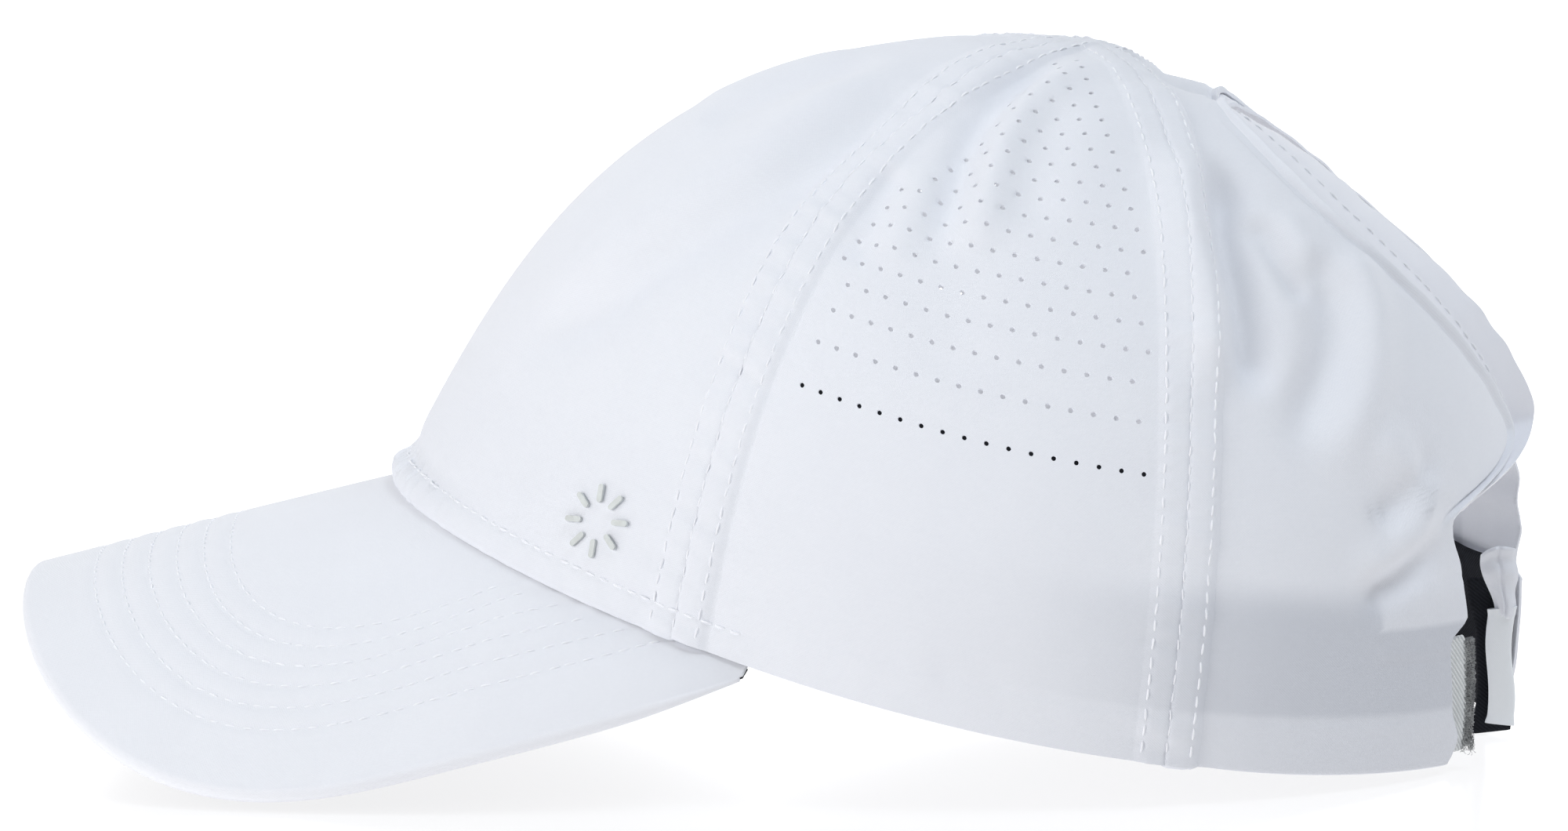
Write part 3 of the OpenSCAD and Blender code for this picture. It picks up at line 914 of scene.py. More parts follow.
def bill_point(u, w):
    u, w = np.broadcast_arrays(np.asarray(u, float), np.asarray(w, float))
    side = np.abs(u)
    root = root_line(side)
    from_s, from_f = on_arch(root)
    to_s, to_f, share = bill_outline(side)
    on = arch_point(lerp(from_s, to_s, w), lerp(from_f, to_f, w))
    root_drop = root[..., 2] - arch_point(from_s, from_f)[..., 2]
    fade = (1 - w) ** 2
    on[..., 2] += root_drop * fade + CORNER_DROP * share * (1 - fade)
    on[..., 0] *= np.where(u < 0, -1, 1)
    return on


def bill_normal(u, w):
    across = bill_point(np.minimum(1, u + 0.004), w) - bill_point(np.maximum(-1, u - 0.004), w)
    out = bill_point(u, w + 0.004) - bill_point(u, w - 0.004)
    return unit(np.cross(out, across))


def bill_thickness(u):
    return BILL_T * (1 - CORNER_THINNING * smooth((np.abs(u) - 0.84) / 0.16))


def bill_edge(u):
    """The outline's place, its outward direction and the surface's normal."""
    place = bill_point(u, np.ones_like(u))
    normal = bill_normal(u, np.full_like(u, 0.985))
    tangent = unit(np.gradient(place, axis=0))
    outward = unit(np.cross(tangent, normal))
    middle = bill_point(u, np.full_like(u, 0.9))
    turned = np.sum(outward * (place - middle), -1) < 0
    return place, np.where(turned[:, None], -outward, outward), normal


def inset_share(u, inset):
    """The share w that lies an inset inside the outline."""
    place, outward, _ = bill_edge(u)
    root = bill_point(u, np.zeros_like(u))
    reach = np.maximum(np.sum((place - root) * outward, -1), 0.5)
    return 1 - inset / reach


BILL_U = np.concatenate([
    -np.linspace(1, 0.80, 50)[:-1], np.linspace(-0.80, 0.80, 181)[:-1], np.linspace(0.80, 1, 50)
])


def bill_relief(u, w, inset):
    """Sunk stitch rows, with the cloth slightly proud between them and gathered at the root."""
    past = inset - ROW_INSET
    total = 0 * w
    for k in range(ROW_COUNT):
        total = total - 0.2 * bell(past - k * ROW_PITCH, 0.55) * smooth((w - 0.02) / 0.05)
    between = smooth((27 - past) / 4) * smooth((inset - 9) / 5)
    total = total + 0.08 * sind(past * 360 / ROW_PITCH - 90) * between
    total = total + 0.07 * ripple(u * 160 + inset * 0.3, 6.5, 81) * bell(past - 12, 13)
    return total * smooth((1.01 - np.abs(u)) / 0.06)


def bill_roll(u):
    """The radius of the roll round the bill's edge, and the share w where the roll starts."""
    radius = bill_thickness(u) / 2
    return radius, np.maximum(inset_share(u, radius), 0.05)


def bill_inset(w, radius, last):
    """How far inside the outline a share w lies."""
    return (1 - w) / np.maximum(1 - last, 1e-6) * radius


def bill_shell(name, top, angles, offset, material):
    """A cover of the bill: one face of it, then a roll round its edge through the angles."""
    u = BILL_U
    place, outward, normal = bill_edge(u)
    radius, last = bill_roll(u)
    sign, depth = (1, 0 * radius) if top else (-1, 2 * radius)
    outer, inner = [], []
    for w_share in np.linspace(0, 1, BILL_ROWS):
        w = w_share * last
        here = bill_point(u, w)
        n = bill_normal(u, np.maximum(w, 0.006))
        if top:
            puff = bill_relief(u, w, bill_inset(w, radius, last))
        else:
            puff = 0.05 * ripple(u * 150, 9, 5) * smooth(w / 0.1) * (1 - w)
        outer.append(here + (puff * sign - depth)[:, None] * n)
        inner.append(here + (-depth - sign * BILL_CLOTH_T)[:, None] * n)
    centre = place - radius[:, None] * (outward + normal)
    for angle in angles:
        direction = cosd(angle) * outward + sind(angle) * normal
        outer.append(centre + (radius + offset)[:, None] * direction)
        inner.append(centre + np.maximum(radius - BILL_CLOTH_T, 0.15)[:, None] * direction)
    outer, inner = np.array(outer), np.array(inner)
    weave_x = np.broadcast_to(u * 120, outer.shape[:2])
    weave_y = run_along(outer[:, len(u) // 2])
    weave = stack(weave_x, weave_y[:, None], 0).reshape(-1, 3)
    faces = grid_faces(*outer.shape[:2], flip=top)
    sheet_piece(name, outer.reshape(-1, 3), inner.reshape(-1, 3), faces, weave, material,
                [name], roundness=0.3)


def make_bill(materials):
    bill_shell("bill_top_cover", True, np.linspace(86, -42, 15), 0, materials["bill"])
    bill_shell("bill_undervisor", False, np.linspace(-86, -50, 6), -0.12, materials["black"])


# ---- stitches ----

STITCH_L = 2.35
STITCH_R = 0.22
RING_SIDES = 7
RING_TURNS = np.arange(RING_SIDES) * 360 / RING_SIDES
RINGS = (                      # a stitch's rings: place, radius and lift
    (-1, 0.25, -0.32), (-0.86, 0.7, -0.1), (-0.5, 0.95, 0.06), (0, 1, 0.11),
    (0.5, 0.95, 0.06), (0.86, 0.7, -0.1), (1, 0.25, -0.32),
)


class Stitching:
    """Collects threads that become one mesh."""

    def __init__(self):
        self.points = []
        self.faces = []
        self.count = 0
        self.rng = np.random.default_rng(11)

    def row(self, line, normals, radius=STITCH_R, sink=0.0):
        """Stitches along a line of places on the cloth."""
        run = run_along(line)
        starts = np.arange(STITCH_PITCH * 0.3, run[-1] - STITCH_L, STITCH_PITCH)
        starts = starts + self.rng.uniform(-0.12, 0.12, len(starts)) * STITCH_PITCH

        def at(place, values):
            return np.stack([np.interp(place, run, values[:, k]) for k in range(3)], -1)
        for start in starts:
            p, q = at(start, line), at(start + STITCH_L, line)
            n = unit(at(start + STITCH_L / 2, normals))
            along = unit(q - p)
            side = np.cross(n, along)
            twist = self.rng.uniform(-0.10, 0.10)
            middle = (p + q) / 2
            half = length_of(q - p) / 2
            circle = cosd(RING_TURNS)[:, None] * side + sind(RING_TURNS)[:, None] * n
            for s, r, lift in RINGS:
                centre = middle + s * half * (along + twist * side) + (lift - sink) * n
                self.points.append(centre + r * radius * circle)
            self.faces += [face[::-1] for face in ring_faces(len(RINGS), RING_SIDES, self.count)]
            self.count += len(RINGS) * RING_SIDES

    def piece(self, name, material, slot, body=CAP):
        points = np.concatenate(self.points)
        return make_piece(name, points, self.faces, material, (), body, weave=points)


def crown_row(stitching, a, t, mirrored, **options):
    if mirrored:
        a = -a
    stitching.row(crown_surface(a, t), crown_normal(a, t), **options)


def stitch_crown(material):
    threads = Stitching()
    for mirrored in (False, True):
        for line in (front_seam, back_seam):
            t = np.linspace(0.004, 0.972, 300)
            for offset in (-STITCH_OFFSET, STITCH_OFFSET):
                a = angle_beside(line, t, offset)
                crown_row(threads, a, t, mirrored)
            crown_row(threads, line(t), t, mirrored, radius=0.17, sink=0.03)
        end = right_end if mirrored else left_end
        t = np.linspace(BAND_FOOT + 0.02, OPENING_TOP - 0.03, 200)
        a = lerp(*opening_edge(end, t), 0.4)
        extra = opening_extra(end, a, t)
        if mirrored:
            a = -a
        normals = crown_normal(a, t)
        sunk = opening_bumps(end, a, t)
        band = crown_surface(a, t, BAND_DEPTH, False)
        threads.row(band + (sunk - extra)[:, None] * normals, normals)
        above = np.linspace(OPENING_TOP + 0.005, 0.965, 60)
        crown_row(threads, angle_beside(lambda x: 180 + 0 * x, above, -2.6), above, mirrored)
    a = np.linspace(-BILL_END_A - 1, BILL_END_A + 1, 400)
    crown_row(threads, a, share_at(a, 4.8), False)
    threads.piece("crown_stitching", material, "panel_cloth")


def stitch_bill(material):
    threads = Stitching()
    for k in range(ROW_COUNT):
        inset = ROW_INSET + k * ROW_PITCH
        w = inset_share(BILL_U, inset)
        here = bill_inset(w, *bill_roll(BILL_U))
        keep = (w > 0.045) & (w < 1)
        u, w, here = BILL_U[keep], w[keep], here[keep]
        normals = bill_normal(u, w)
        line = bill_point(u, w) + bill_relief(u, w, here)[:, None] * normals
        threads.row(line, normals, sink=0.02)
    threads.piece("bill_stitching", material, "panel_cloth")


# ---- closure ----

LEFT_TAPE_A = 3.2              # how far the tape reaches beyond the left panel
PILE_START_A = LEFT_TAPE_A - 0.3
PILE_END_A = 5.2
PILE_DEPTH = 0.4
PILE_LOOPS = 900
LOOP_H = 0.38
FRAY_THREADS = 46
FIBRE_SIDES = 5
DEGREE_AT_CLOSURE = 1.6        # millimetres in one degree round the rim there
TWILL_PITCH = 0.85
RIGHT_ROOT_A = RIGHT_END_A + STRAP_GAP_A
RIGHT_TIP_A = RIGHT_ROOT_A + RIGHT_STRAP_A
LEFT_STRAP_H = 21.8
RIGHT_STRAP_H = 26


def closure_strip(name, body, place, cols, rows, depth, thickness, material, bumps=None):
    """A strip on a folding tab: it follows the plain crown, without the folds."""
    a, t, _ = strip_places(place, cols, rows)
    lifted = bumps(a, t) if bumps else 0 * a
    base, normal = crown_point(a, t), crown_normal(a, t)
    outer = base + (lifted - depth)[:, None] * normal
    inner = base - (depth + thickness) * normal
    weave = stack(a * DEGREE_AT_CLOSURE, run_at(t), 0 * t)
    return sheet_piece(name, outer, inner, grid_faces(rows + 1, cols + 1), weave, material,
                       [name], body)


def tube(points, radius):
    """Points and faces of a thin thread along a line."""
    tangent = unit(np.gradient(points, axis=0))
    side = unit(np.cross(tangent, (0.31, 0.2, 0.93)))
    other = np.cross(tangent, side)
    turns = np.arange(FIBRE_SIDES) * 360 / FIBRE_SIDES
    rings = points[:, None] + radius * (
        cosd(turns)[None, :, None] * side[:, None] + sind(turns)[None, :, None] * other[:, None]
    )
    return rings.reshape(-1, 3), ring_faces(len(points), FIBRE_SIDES)


def pile_threads(name, lines, radius, material):
    """Fibres of the loop pile along lines, as one mesh."""
    points, faces, count = [], [], 0
    for line in lines:
        tube_points, tube_faces = tube(line, radius)
        points.append(tube_points)
        faces += [tuple(i + count for i in face) for face in tube_faces]
        count += len(tube_points)
    points = np.concatenate(points)
    make_piece(name, points, faces, material, (), "left_closure", weave=points)


def pile_loops(material):
    """Small loops that stand on the pile."""
    rng = np.random.default_rng(5)
    lines = []
    bend = np.linspace(0, 180, 7)
    for _ in range(PILE_LOOPS):
        t = share_at(LEFT_END_A, rng.uniform(2.6, LEFT_STRAP_H - 0.6))
        a = left_foot_end(t) + rng.uniform(PILE_START_A, PILE_END_A)
        n = crown_normal(a, t)
        across = unit(np.cross(n, rng.normal(size=3)))
        reach = rng.uniform(0.15, 0.35)
        height = LOOP_H * rng.uniform(0.6, 1.0)
        lines.append(
            crown_point(a, t) - PILE_DEPTH * n + (cosd(bend) * reach)[:, None] * across
            + (sind(bend) * height - 0.05)[:, None] * n
        )
    pile_threads("loop_pile_loops", lines, 0.045, material)


def pile_fray(material):
    """Loose fibres that curl out of the pile's lower end."""
    rng = np.random.default_rng(17)
    lines = []
    at = np.linspace(0, 1, 12)
    for _ in range(FRAY_THREADS):
        t = share_at(LEFT_END_A, 2.2 + rng.uniform(-0.2, 2.5))
        base = crown_point(left_foot_end(t) + rng.uniform(PILE_START_A, PILE_END_A + 0.3), t)
        length = rng.uniform(0.8, 2.8)
        curl = rng.uniform(0.2, 0.6)
        spin = rng.uniform(300, 900)
        start = rng.uniform(0, 360)
        lines.append(base + stack(
            curl * at * cosd(start + spin * at),
            curl * at * sind(start + spin * at) + rng.uniform(-0.4, 0.4) * at,
            -length * at * 0.6 + 0.25 * sind(spin * at),
        ))
    pile_threads("loop_pile_fray", lines, 0.04, material)


def left_place(a0, a1, h0, h1):
    """A strip that starts and ends so many degrees beyond the left panel's end."""
    def place(u, v):
        t = share_at(LEFT_END_A, lerp(h0, h1, v))
        return left_foot_end(t) + lerp(a0, a1, u), t, 0 * u
    return place


def make_closure(materials):
    def twill_bumps(a, t):
        return 0.06 * sind((a * DEGREE_AT_CLOSURE * 0.8 + run_at(t)) * 360 / TWILL_PITCH)
    closure_strip("closure_tape_left", "left_closure",
                  left_place(0.2, LEFT_TAPE_A, 2, LEFT_STRAP_H),
                  40, 150, 0.3, 0.9, materials["twill"], twill_bumps)
    # the pile's grey colours are painted shade over a white loop pile
    closure_strip("loop_pile_left", "left_closure",
                  left_place(PILE_START_A, PILE_END_A, 2.5, LEFT_STRAP_H - 0.5),
                  12, 60, PILE_DEPTH, 0.6, materials["pile"])
    pile_loops(materials["pile_thread"])
    pile_fray(materials["pile_thread"])
    closure_strip("closure_strap_right", "right_closure",
                  band_place(-RIGHT_TIP_A, -RIGHT_ROOT_A, 2, RIGHT_STRAP_H),
                  40, 60, 1.8, 0.9, materials["panel"],
                  lambda a, t: 0.1 * ripple(run_at(t), 7, 91))
    closure_strip("hook_patch_right", "right_closure",
                  band_place(-RIGHT_TIP_A + 2, -RIGHT_ROOT_A - 2, 3, RIGHT_STRAP_H - 3),
                  30, 60, 2.95, 0.55, materials["hook"])
    strap_corner(materials["panel"])
    strap_lining(materials["black"])
    # the tape's extra whiteness is painted light against the shadow it lies in
    end_binding(materials["tape"])


def strap_box():
    """The low and high corners of the folded tape's CAD solid, in millimetres."""
    return [np.array(corner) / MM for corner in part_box("end_binding_right")]


def strap_sheet(name, x, y, z, thickness, material):
    """A sheet on the right strap that faces sideways."""
    outer, inner = (stack(x - deep, y, z).reshape(-1, 3) for deep in (0, thickness))
    weave = stack(y, z, 0).reshape(-1, 3)
    sheet_piece(name, outer, inner, grid_faces(*y.shape), weave, material, (),
                "right_closure")


def strap_corner(material):
    """The cloth folded over at the right strap's root, above the tape, with a stitched edge."""
    high = strap_box()[1]
    u, v = unit_grid(24, 36)
    top, foot = high[2] + 12.0, high[2] - 0.5
    near = lerp(high[1] - 3.6, high[1] - 6.3, smooth(v * 1.15))
    far = high[1] - 0.9 + 0.4 * smooth(v / 0.4)
    y = lerp(near, far, u) + 0.25 * sind(v * 700) * u
    z = lerp(foot, top, v) - 2.6 * (1 - u) ** 3 * v - 1.6 * u * v - 1.5 * u * (1 - v)
    puff = 1.1 * sind(180 * clamp01(u)) ** 0.6 + 0.3 * ripple(v * 12, 5, 33)
    puff = puff - 0.4 * bell(u - 0.5, 0.06)
    strap_sheet("strap_corner", high[0] - 0.6 + puff, y, z, 0.9, material)


def strap_lining(material):
    """The dark inner side of the right strap, which shows beside the tape."""
    low, high = strap_box()
    u, v = unit_grid(16, 60)
    start = low[1] - 0.8 - 2.2 * smooth((v - 0.62) / 0.38) - 0.9 * smooth((0.3 - v) / 0.25)
    y = lerp(start, high[1] - 1.0, u) + 0.2 * sind(v * 400) * (1 - u)
    z = lerp(low[2] - 1.8, high[2] + 5, v) + 0.7 * u * (1 - v)
    x = low[0] - 0.5 + 0.1 * ripple(v * 30, 6, 12)
    strap_sheet("strap_lining", x, y, z, 0.6, material)


def end_binding(material):
    """The folded tape over the right strap's free end, with its cut corners flared."""
    low, high = strap_box()
    centre = (low + high) / 2
    half = (high - low) / 2
    turns = np.linspace(0, 360, 41)[:-1]
    rings = []
    for v in np.linspace(0, 1, 60):
        z = low[2] + v * 2 * half[2]
        ends = bell(v, 0.05) + bell(1 - v, 0.04)
        wide = half[1] * (0.81 + 0.10 * ends + 0.02 * math.sin(9 * v))
        thick = half[0] * (0.92 + 0.25 * ends)
        sway = 0.35 * math.sin(2.2 * v * math.pi)
        x = centre[0] + thick * np.sign(cosd(turns)) * np.abs(cosd(turns)) ** 0.8
        y = centre[1] + sway + wide * np.sign(sind(turns)) * np.abs(sind(turns)) ** 0.6
        lean = 0.5 * (y - centre[1]) / half[1] * (1 if v > 0.5 else -1) * ends
        rings.append(stack(x, y, z + 0.6 * lean))
    points = np.concatenate(rings)
    weave = stack(points[:, 1], points[:, 2], 0)
    faces = ring_faces(len(rings), len(turns))
    make_piece("end_binding_right", points, faces, material, ["end_binding_right"],
               "right_closure", weave)


# ---- materials ----

class Nodes:
    """A material's node tree, with a few short ways to add nodes."""

    def __init__(self, name):
        self.material = bpy.data.materials.new(name)
        self.material.use_nodes = True
        self.tree = self.material.node_tree
        self.shader = self.tree.nodes["Principled BSDF"]

    def add(self, kind, **values):
        node = self.tree.nodes.new(kind)
        for key, value in values.items():
            setattr(node, key, value)
        return node

    def link(self, output, socket):
        self.tree.links.new(output, socket)

    def value(self, operation, first, second=None, third=None):
        node = self.add("ShaderNodeMath", operation=operation)
        for k, part in enumerate((first, second, third)):
            if part is None:
                continue
            if isinstance(part, (int, float)):
                node.inputs[k].default_value = part
            else:
                self.link(part, node.inputs[k])
        return node.outputs[0]

    def total(self, *terms):
        """The sum of values times their weights."""
        (first, weight), *others = terms
        result = self.value("MULTIPLY", first, weight)
        for part, weight in others:
            result = self.value("MULTIPLY_ADD", part, weight, result)
        return result

    def weave(self):
        """The cloth's own coordinates in millimetres."""
        source = self.add("ShaderNodeAttribute", attribute_name="weave")
        parts = self.add("ShaderNodeSeparateXYZ")
        self.link(source.outputs["Vector"], parts.inputs[0])
        return parts.outputs[0], parts.outputs[1]

    def place(self):
        return self.add("ShaderNodeTexCoord").outputs["Object"]

    def noise(self, vector, scale, detail=3.0, rough=0.55):
        node = self.add("ShaderNodeTexNoise")
        node.inputs["Scale"].default_value = scale
        node.inputs["Detail"].default_value = detail
        node.inputs["Roughness"].default_value = rough
        self.link(vector, node.inputs["Vector"])
        return node.outputs["Fac"]

    def mix(self, share, first, second):
        node = self.add("ShaderNodeMix", data_type="RGBA")
        self.link(share, node.inputs["Factor"])
        for socket, colour in ((node.inputs[6], first), (node.inputs[7], second)):
            if isinstance(colour, tuple):
                socket.default_value = (*colour, 1)
            else:
                self.link(colour, socket)
        return node.outputs[2]

    def spread(self, fac, low, high, to_low=0.0, to_high=1.0):
        node = self.add("ShaderNodeMapRange")
        self.link(fac, node.inputs[0])
        for k, number in enumerate((low, high, to_low, to_high)):
            node.inputs[k + 1].default_value = number
        return node.outputs[0]

    def bump(self, height, distance, strength):
        node = self.add("ShaderNodeBump")
        node.inputs["Distance"].default_value = distance
        node.inputs["Strength"].default_value = strength
        self.link(height, node.inputs["Height"])
        self.link(node.outputs[0], self.shader.inputs["Normal"])

    def finish(self, colour, roughness, sheen=0.0, sheen_rough=0.5, specular=0.4, metallic=0.0):
        inputs = self.shader.inputs
        self.link(colour, inputs["Base Color"])
        self.link(roughness, inputs["Roughness"])
        inputs["Sheen Weight"].default_value = sheen
        inputs["Sheen Roughness"].default_value = sheen_rough
        inputs["Specular IOR Level"].default_value = specular
        inputs["Metallic"].default_value = metallic
        return self.material


def wave_of(nodes, coordinate, pitch):
    return nodes.value("SINE", nodes.value("MULTIPLY", coordinate, 2 * math.pi / pitch))


def plain_cloth(name, light, dark, pitch, bump_mm, strength, sheen, sweatband_and_shade_colour=None, rough=0.62):
    """A plain weave: crossing threads, slubs along them and slow mottling."""
    nodes = Nodes(name)
    x, y = nodes.weave()
    crossing = nodes.value("MULTIPLY", wave_of(nodes, x, pitch), wave_of(nodes, y, pitch))
    combined = nodes.add("ShaderNodeCombineXYZ")
    nodes.link(nodes.value("MULTIPLY", x, 0.25), combined.inputs[0])
    nodes.link(nodes.value("MULTIPLY", y, 2.4), combined.inputs[1])
    slub = nodes.noise(combined.outputs[0], 1.3, 2.0)
    place = nodes.place()
    mottle = nodes.noise(place, 90, 4.0)
    grain = nodes.noise(place, 1500, 3.0, 0.7)
    height = nodes.total((slub, 0.9), (crossing, 0.5), (grain, 1.4))
    tone = nodes.total((mottle, 0.3), (crossing, 0.12), (slub, 0.2), (grain, 0.35))
    colour = nodes.mix(nodes.spread(tone, 0.15, 0.75), dark, light)
    # painted shade: a darker blue-grey is mixed in where the sweatband shows through and towards
    # the back
    if sweatband_and_shade_colour:
        source = nodes.add("ShaderNodeAttribute", attribute_name="sweatband_and_shade")
        colour = nodes.mix(nodes.value("MULTIPLY", source.outputs["Fac"], 0.7), colour, sweatband_and_shade_colour)
    nodes.bump(height, bump_mm * MM, strength)
    roughness = nodes.spread(mottle, 0.2, 0.8, rough - 0.06, rough + 0.07)
    return nodes.finish(colour, roughness, sheen, 0.45, 0.35)


def diagonal_cloth(name, light, dark, pitch, bump_mm, strength, sheen, rough=0.6, slope=0.8,
                   specular=0.35):
    """A twill or knit: slanting ribs crossed by finer threads."""
    nodes = Nodes(name)
    x, y = nodes.weave()
    slant = nodes.value("MULTIPLY_ADD", x, slope, y)
    rib = wave_of(nodes, slant, pitch)
    thread = wave_of(nodes, nodes.value("MULTIPLY_ADD", y, -slope, x), pitch * 0.55)
    place = nodes.place()
    mottle = nodes.noise(place, 140, 4.0)
    grain = nodes.noise(place, 3000, 2.0, 0.7)
    height = nodes.total((rib, 1), (thread, 0.35), (grain, 1.2))
    tone = nodes.total((mottle, 0.7), (rib, 0.25))
    colour = nodes.mix(nodes.spread(tone, 0.0, 0.75), dark, light)
    nodes.bump(height, bump_mm * MM, strength)
    roughness = nodes.spread(mottle, 0.2, 0.8, rough - 0.08, rough + 0.08)
    return nodes.finish(colour, roughness, sheen, 0.4, specular)


def fibre(name, light, dark, rough=0.6, sheen=0.3):
    """Thread and pile fibres: fine grain and twist."""
    nodes = Nodes(name)
    place = nodes.place()
    grain = nodes.noise(place, 4000, 2.0, 0.7)
    mottle = nodes.noise(place, 300, 3.0)
    colour = nodes.mix(nodes.spread(mottle, 0.3, 0.7), dark, light)
    nodes.bump(grain, 0.03 * MM, 0.5)
    return nodes.finish(colour, nodes.spread(grain, 0.3, 0.7, rough - 0.1, rough + 0.1), sheen)


def badge_finish():
    """A reflective transfer: fine glass beads in grey."""
    nodes = Nodes("badge")
    place = nodes.place()
    bead = nodes.add("ShaderNodeTexVoronoi")
    bead.inputs["Scale"].default_value = 9000
    nodes.link(place, bead.inputs["Vector"])
    mottle = nodes.noise(place, 500, 3.0)
    colour = nodes.mix(nodes.spread(mottle, 0.3, 0.7), (0.50, 0.52, 0.51), (0.62, 0.65, 0.64))
    nodes.bump(bead.outputs["Distance"], 0.02 * MM, 0.5)
    return nodes.finish(colour, nodes.spread(mottle, 0.3, 0.7, 0.32, 0.46), 0, 0.5, 0.6, 0.15)


def board_finish():
    """Moulded board inside the bill."""
    nodes = Nodes("bill_board")
    place = nodes.place()
    grain = nodes.noise(place, 900, 4.0)
    colour = nodes.mix(grain, (0.55, 0.57, 0.6), (0.66, 0.68, 0.7))
    nodes.bump(grain, 0.05 * MM, 0.4)
    return nodes.finish(colour, nodes.spread(grain, 0.3, 0.7, 0.4, 0.55))


def make_materials():
    return {
        # the panel's blue-grey second colour is the sweatband showing through, and painted shade
        # towards the back
        "panel": plain_cloth("panel_cloth", (0.855, 0.868, 0.912), (0.79, 0.807, 0.862), 0.42, 0.05,
                             0.45, 0.12, sweatband_and_shade_colour=(0.53, 0.553, 0.612)),
        "bill": plain_cloth("bill_cloth", (0.862, 0.87, 0.908), (0.81, 0.82, 0.866), 0.42, 0.05,
                            0.45, 0.12),
        "binding": plain_cloth("binding_cloth", (0.87, 0.88, 0.93), (0.82, 0.83, 0.89), 0.3, 0.03,
                               0.25, 0.2, rough=0.5),
        # painted light: the folded tape is whiter than the panel cloth to brighten it in the left
        # closure's shadow
        "tape": plain_cloth("folded_tape_painted_light", (0.92, 0.945, 0.965), (0.87, 0.90, 0.935), 0.36, 0.04,
                            0.3, 0.15, rough=0.5),
        "black": diagonal_cloth("black_cloth", (0.016, 0.018, 0.024), (0.007, 0.008, 0.011), 0.7,
                                0.08, 0.5, 0.03, 0.75, specular=0.15),
        "pad": diagonal_cloth("pad_cloth", (0.05, 0.05, 0.055), (0.03, 0.03, 0.034), 1.1, 0.1, 0.5,
                              0.2, 0.8),
        "label": diagonal_cloth("label_cloth", (0.84, 0.85, 0.87), (0.76, 0.77, 0.8), 0.35, 0.03,
                                0.3, 0.3, 0.45),
        "twill": diagonal_cloth("closure_tape", (0.84, 0.86, 0.87), (0.52, 0.54, 0.55), 0.85, 0.1,
                                0.6, 0.25, 0.55),
        # painted shade: the loop pile and its fibres are white, and these greys stand in for the
        # shadow they lie in
        "pile": fibre("loop_pile", (0.13, 0.135, 0.14), (0.08, 0.083, 0.088), 0.8),
        "pile_thread": fibre("pile_fibre_painted_shade", (0.46, 0.47, 0.47), (0.2, 0.205, 0.21), 0.7, 0.5),
        "hook": diagonal_cloth("hook_patch", (0.03, 0.031, 0.034), (0.012, 0.012, 0.014), 1.4, 0.3,
                               0.9, 0.05, 0.5, 0.0),
        "thread": fibre("white_thread", (0.92, 0.925, 0.96), (0.865, 0.875, 0.92), 0.5),
        "board": board_finish(),
        "badge": badge_finish(),
    }


def give_material(node, material):
    """A CAD part whose shape is right keeps it, and takes a finished material."""
    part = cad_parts[node]
    for place in part.material_slots:
        place.material = material
    if not part.material_slots:
        part.data.materials.append(material)


# ---- stage, light and camera ----

BACKDROP = 1.05
ROOM = 0.09
RAMP = (-0.7, -0.2)            # where the backdrop's light turns into the room's
FLOOR_GLOW = 0.86
FRONT_POWER = 4.5
KEY_POWER = 10.2
TOP_POWER = 3.2
REAR_POWER = 15.3
INSIDE_POWER = 0.0055
COOL = (0.88, 0.94, 1.0)
AIM = Vector((0, 0.0004, 0.0557))
CAMERA_DISTANCE = 1.3
CAMERA_RISE = 7.5
LENS = 167.1
FLOOR_BACK = 0.227             # the pale table runs into the white sweep this far behind the cap
SWEEP_GLOW = 1.06
FLOOR_HALF = 4


def floor_material():
    """A pale, faintly glossy light table that turns into a white sweep behind."""
    nodes = Nodes("pale_floor")
    place = nodes.place()
    slow = nodes.noise(place, 3.0, 3.0)
    colour = nodes.mix(slow, (0.17, 0.17, 0.17), (0.19, 0.19, 0.19))
    parts = nodes.add("ShaderNodeSeparateXYZ")
    nodes.link(place, parts.inputs[0])
    glow = nodes.spread(parts.outputs[0], -FLOOR_BACK - 0.012, -FLOOR_BACK, SWEEP_GLOW, FLOOR_GLOW)
    nodes.shader.inputs["Emission Color"].default_value = (0.99, 0.99, 1, 1)
    nodes.link(glow, nodes.shader.inputs["Emission Strength"])
    return nodes.finish(colour, nodes.spread(slow, 0.3, 0.7, 0.16, 0.24), specular=0.35)


def make_floor():
    level = min(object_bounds()[0].z, 0) - 0.00004
    mesh = bpy.data.meshes.new("floor")
    corners = [
        (FLOOR_HALF * x, FLOOR_HALF * y, level) for x, y in ((-1, -1), (1, -1), (1, 1), (-1, 1))
    ]
    mesh.from_pydata(corners, [], [(0, 1, 2, 3)])
    mesh.materials.append(floor_material())
    add_object("floor", mesh)


def make_camera():
    camera = add_object("camera", bpy.data.cameras.new("camera"))
    camera.data.lens = LENS
    camera.data.clip_start = 0.05
    camera.data.clip_end = 50
    rise = math.radians(CAMERA_RISE)
    back = Vector((math.cos(rise), 0, math.sin(rise)))
    camera.location = AIM + CAMERA_DISTANCE * back
    camera.rotation_euler = (-back).to_track_quat("-Z", "Y").to_euler()
    bpy.context.scene.camera = camera


def soft_box(name, place, size, power, tint=(1, 1, 1)):
    data = bpy.data.lights.new(name, "AREA")
    data.shape = "SQUARE"
    data.size = size
    data.energy = power
    data.color = tint
    light = add_object(name, data)
    light.location = place
    light.rotation_euler = (AIM - Vector(place)).to_track_quat("-Z", "Y").to_euler()


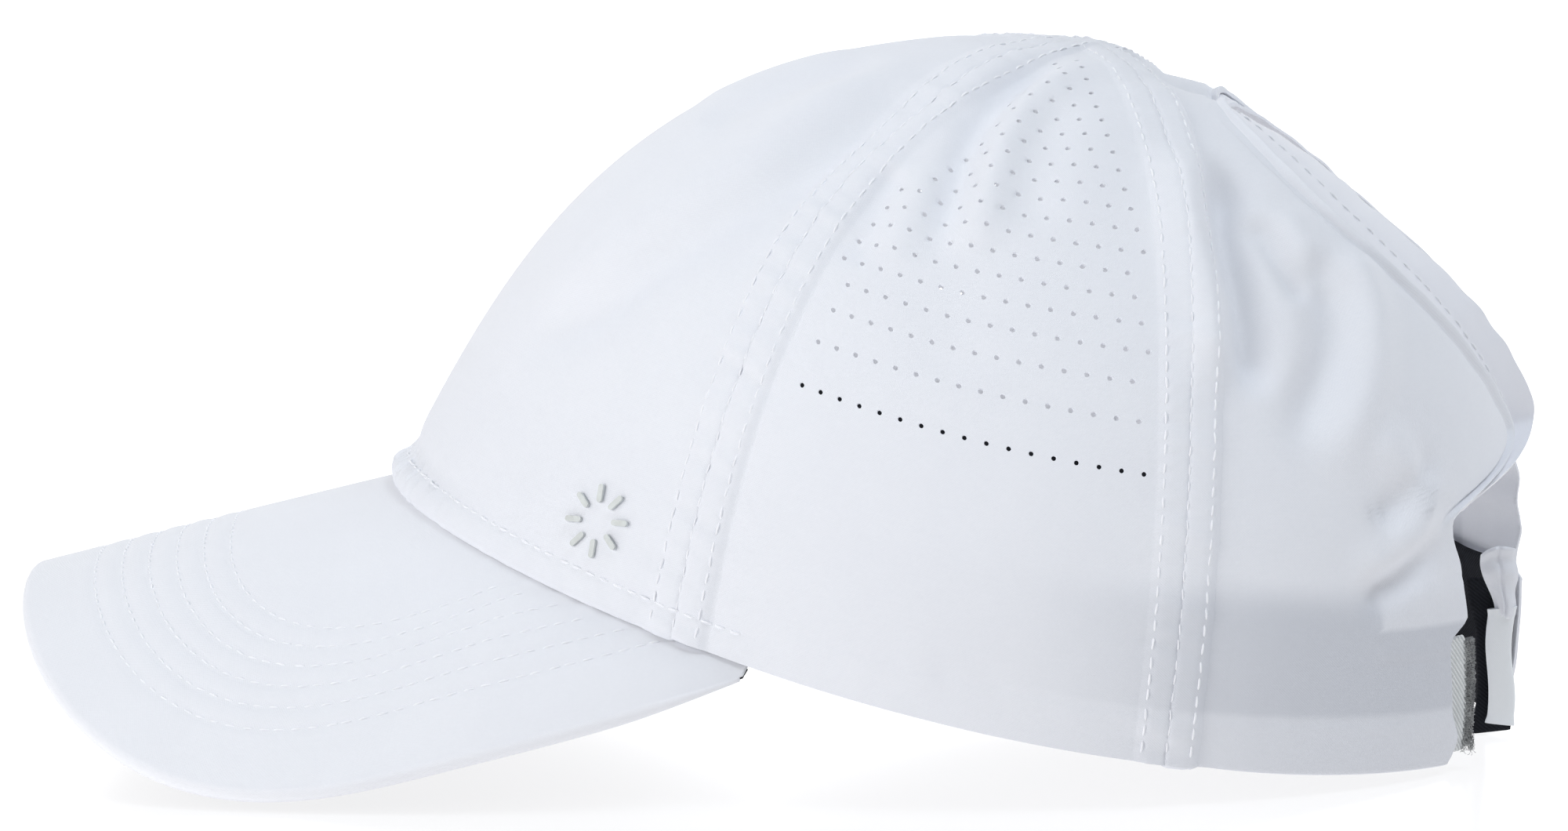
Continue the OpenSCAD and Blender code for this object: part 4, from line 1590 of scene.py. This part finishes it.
def make_light():
    """A white backdrop behind the cap, a dimmer room in front of it and large soft boxes."""
    bpy.context.scene.view_settings.view_transform = "Standard"
    world = bpy.data.worlds.new("studio")
    bpy.context.scene.world = world
    world.use_nodes = True
    tree = world.node_tree
    coords = tree.nodes.new("ShaderNodeTexCoord")
    parts = tree.nodes.new("ShaderNodeSeparateXYZ")
    ramp = tree.nodes.new("ShaderNodeMapRange")
    ramp.interpolation_type = "SMOOTHSTEP"
    for socket, number in zip(ramp.inputs[1:5], (*RAMP, BACKDROP, ROOM)):
        socket.default_value = number
    background = tree.nodes["Background"]
    tree.links.new(coords.outputs["Generated"], parts.inputs[0])
    tree.links.new(parts.outputs[0], ramp.inputs[0])
    tree.links.new(ramp.outputs[0], background.inputs["Strength"])
    background.inputs["Color"].default_value = (1, 1, 1, 1)
    soft_box("front", (0.4, -1.3, 0.6), 0.8, FRONT_POWER)
    soft_box("key", (1.25, -1.05, 0.45), 0.8, KEY_POWER)
    soft_box("top", (0.25, -0.15, 1.6), 1.2, TOP_POWER, COOL)
    soft_box("rear", (0.3, 0.85, 1.6), 0.9, REAR_POWER, COOL)
    inside = bpy.data.lights.new("inside", "POINT")
    inside.energy = INSIDE_POWER
    inside.shadow_soft_size = 0.02
    add_object("inside", inside).location = (0, 0.03, 0.05)


def mirror_of(line):
    return lambda t: -line(t)


def main():
    materials = make_materials()
    cloth = materials["panel"]
    plain_panel("front_panel", mirror_of(front_seam), front_seam, front_columns(), cloth)
    plain_panel("back_panel_left", back_seam, left_end, spaced(66, 1.15), cloth)
    plain_panel("back_panel_right", mirror_of(right_end), mirror_of(back_seam), spaced(72, 1.15),
                cloth)
    perforated_panel("side_panel_left", False, cloth)
    perforated_panel("side_panel_right", True, cloth)
    make_inside(materials)
    make_bill(materials)
    stitch_crown(materials["thread"])
    stitch_bill(materials["thread"])
    make_closure(materials)
    give_material("bill_board", materials["board"])
    give_material("front_badge", materials["badge"])
    make_floor()
    make_light()
    make_camera()


main()
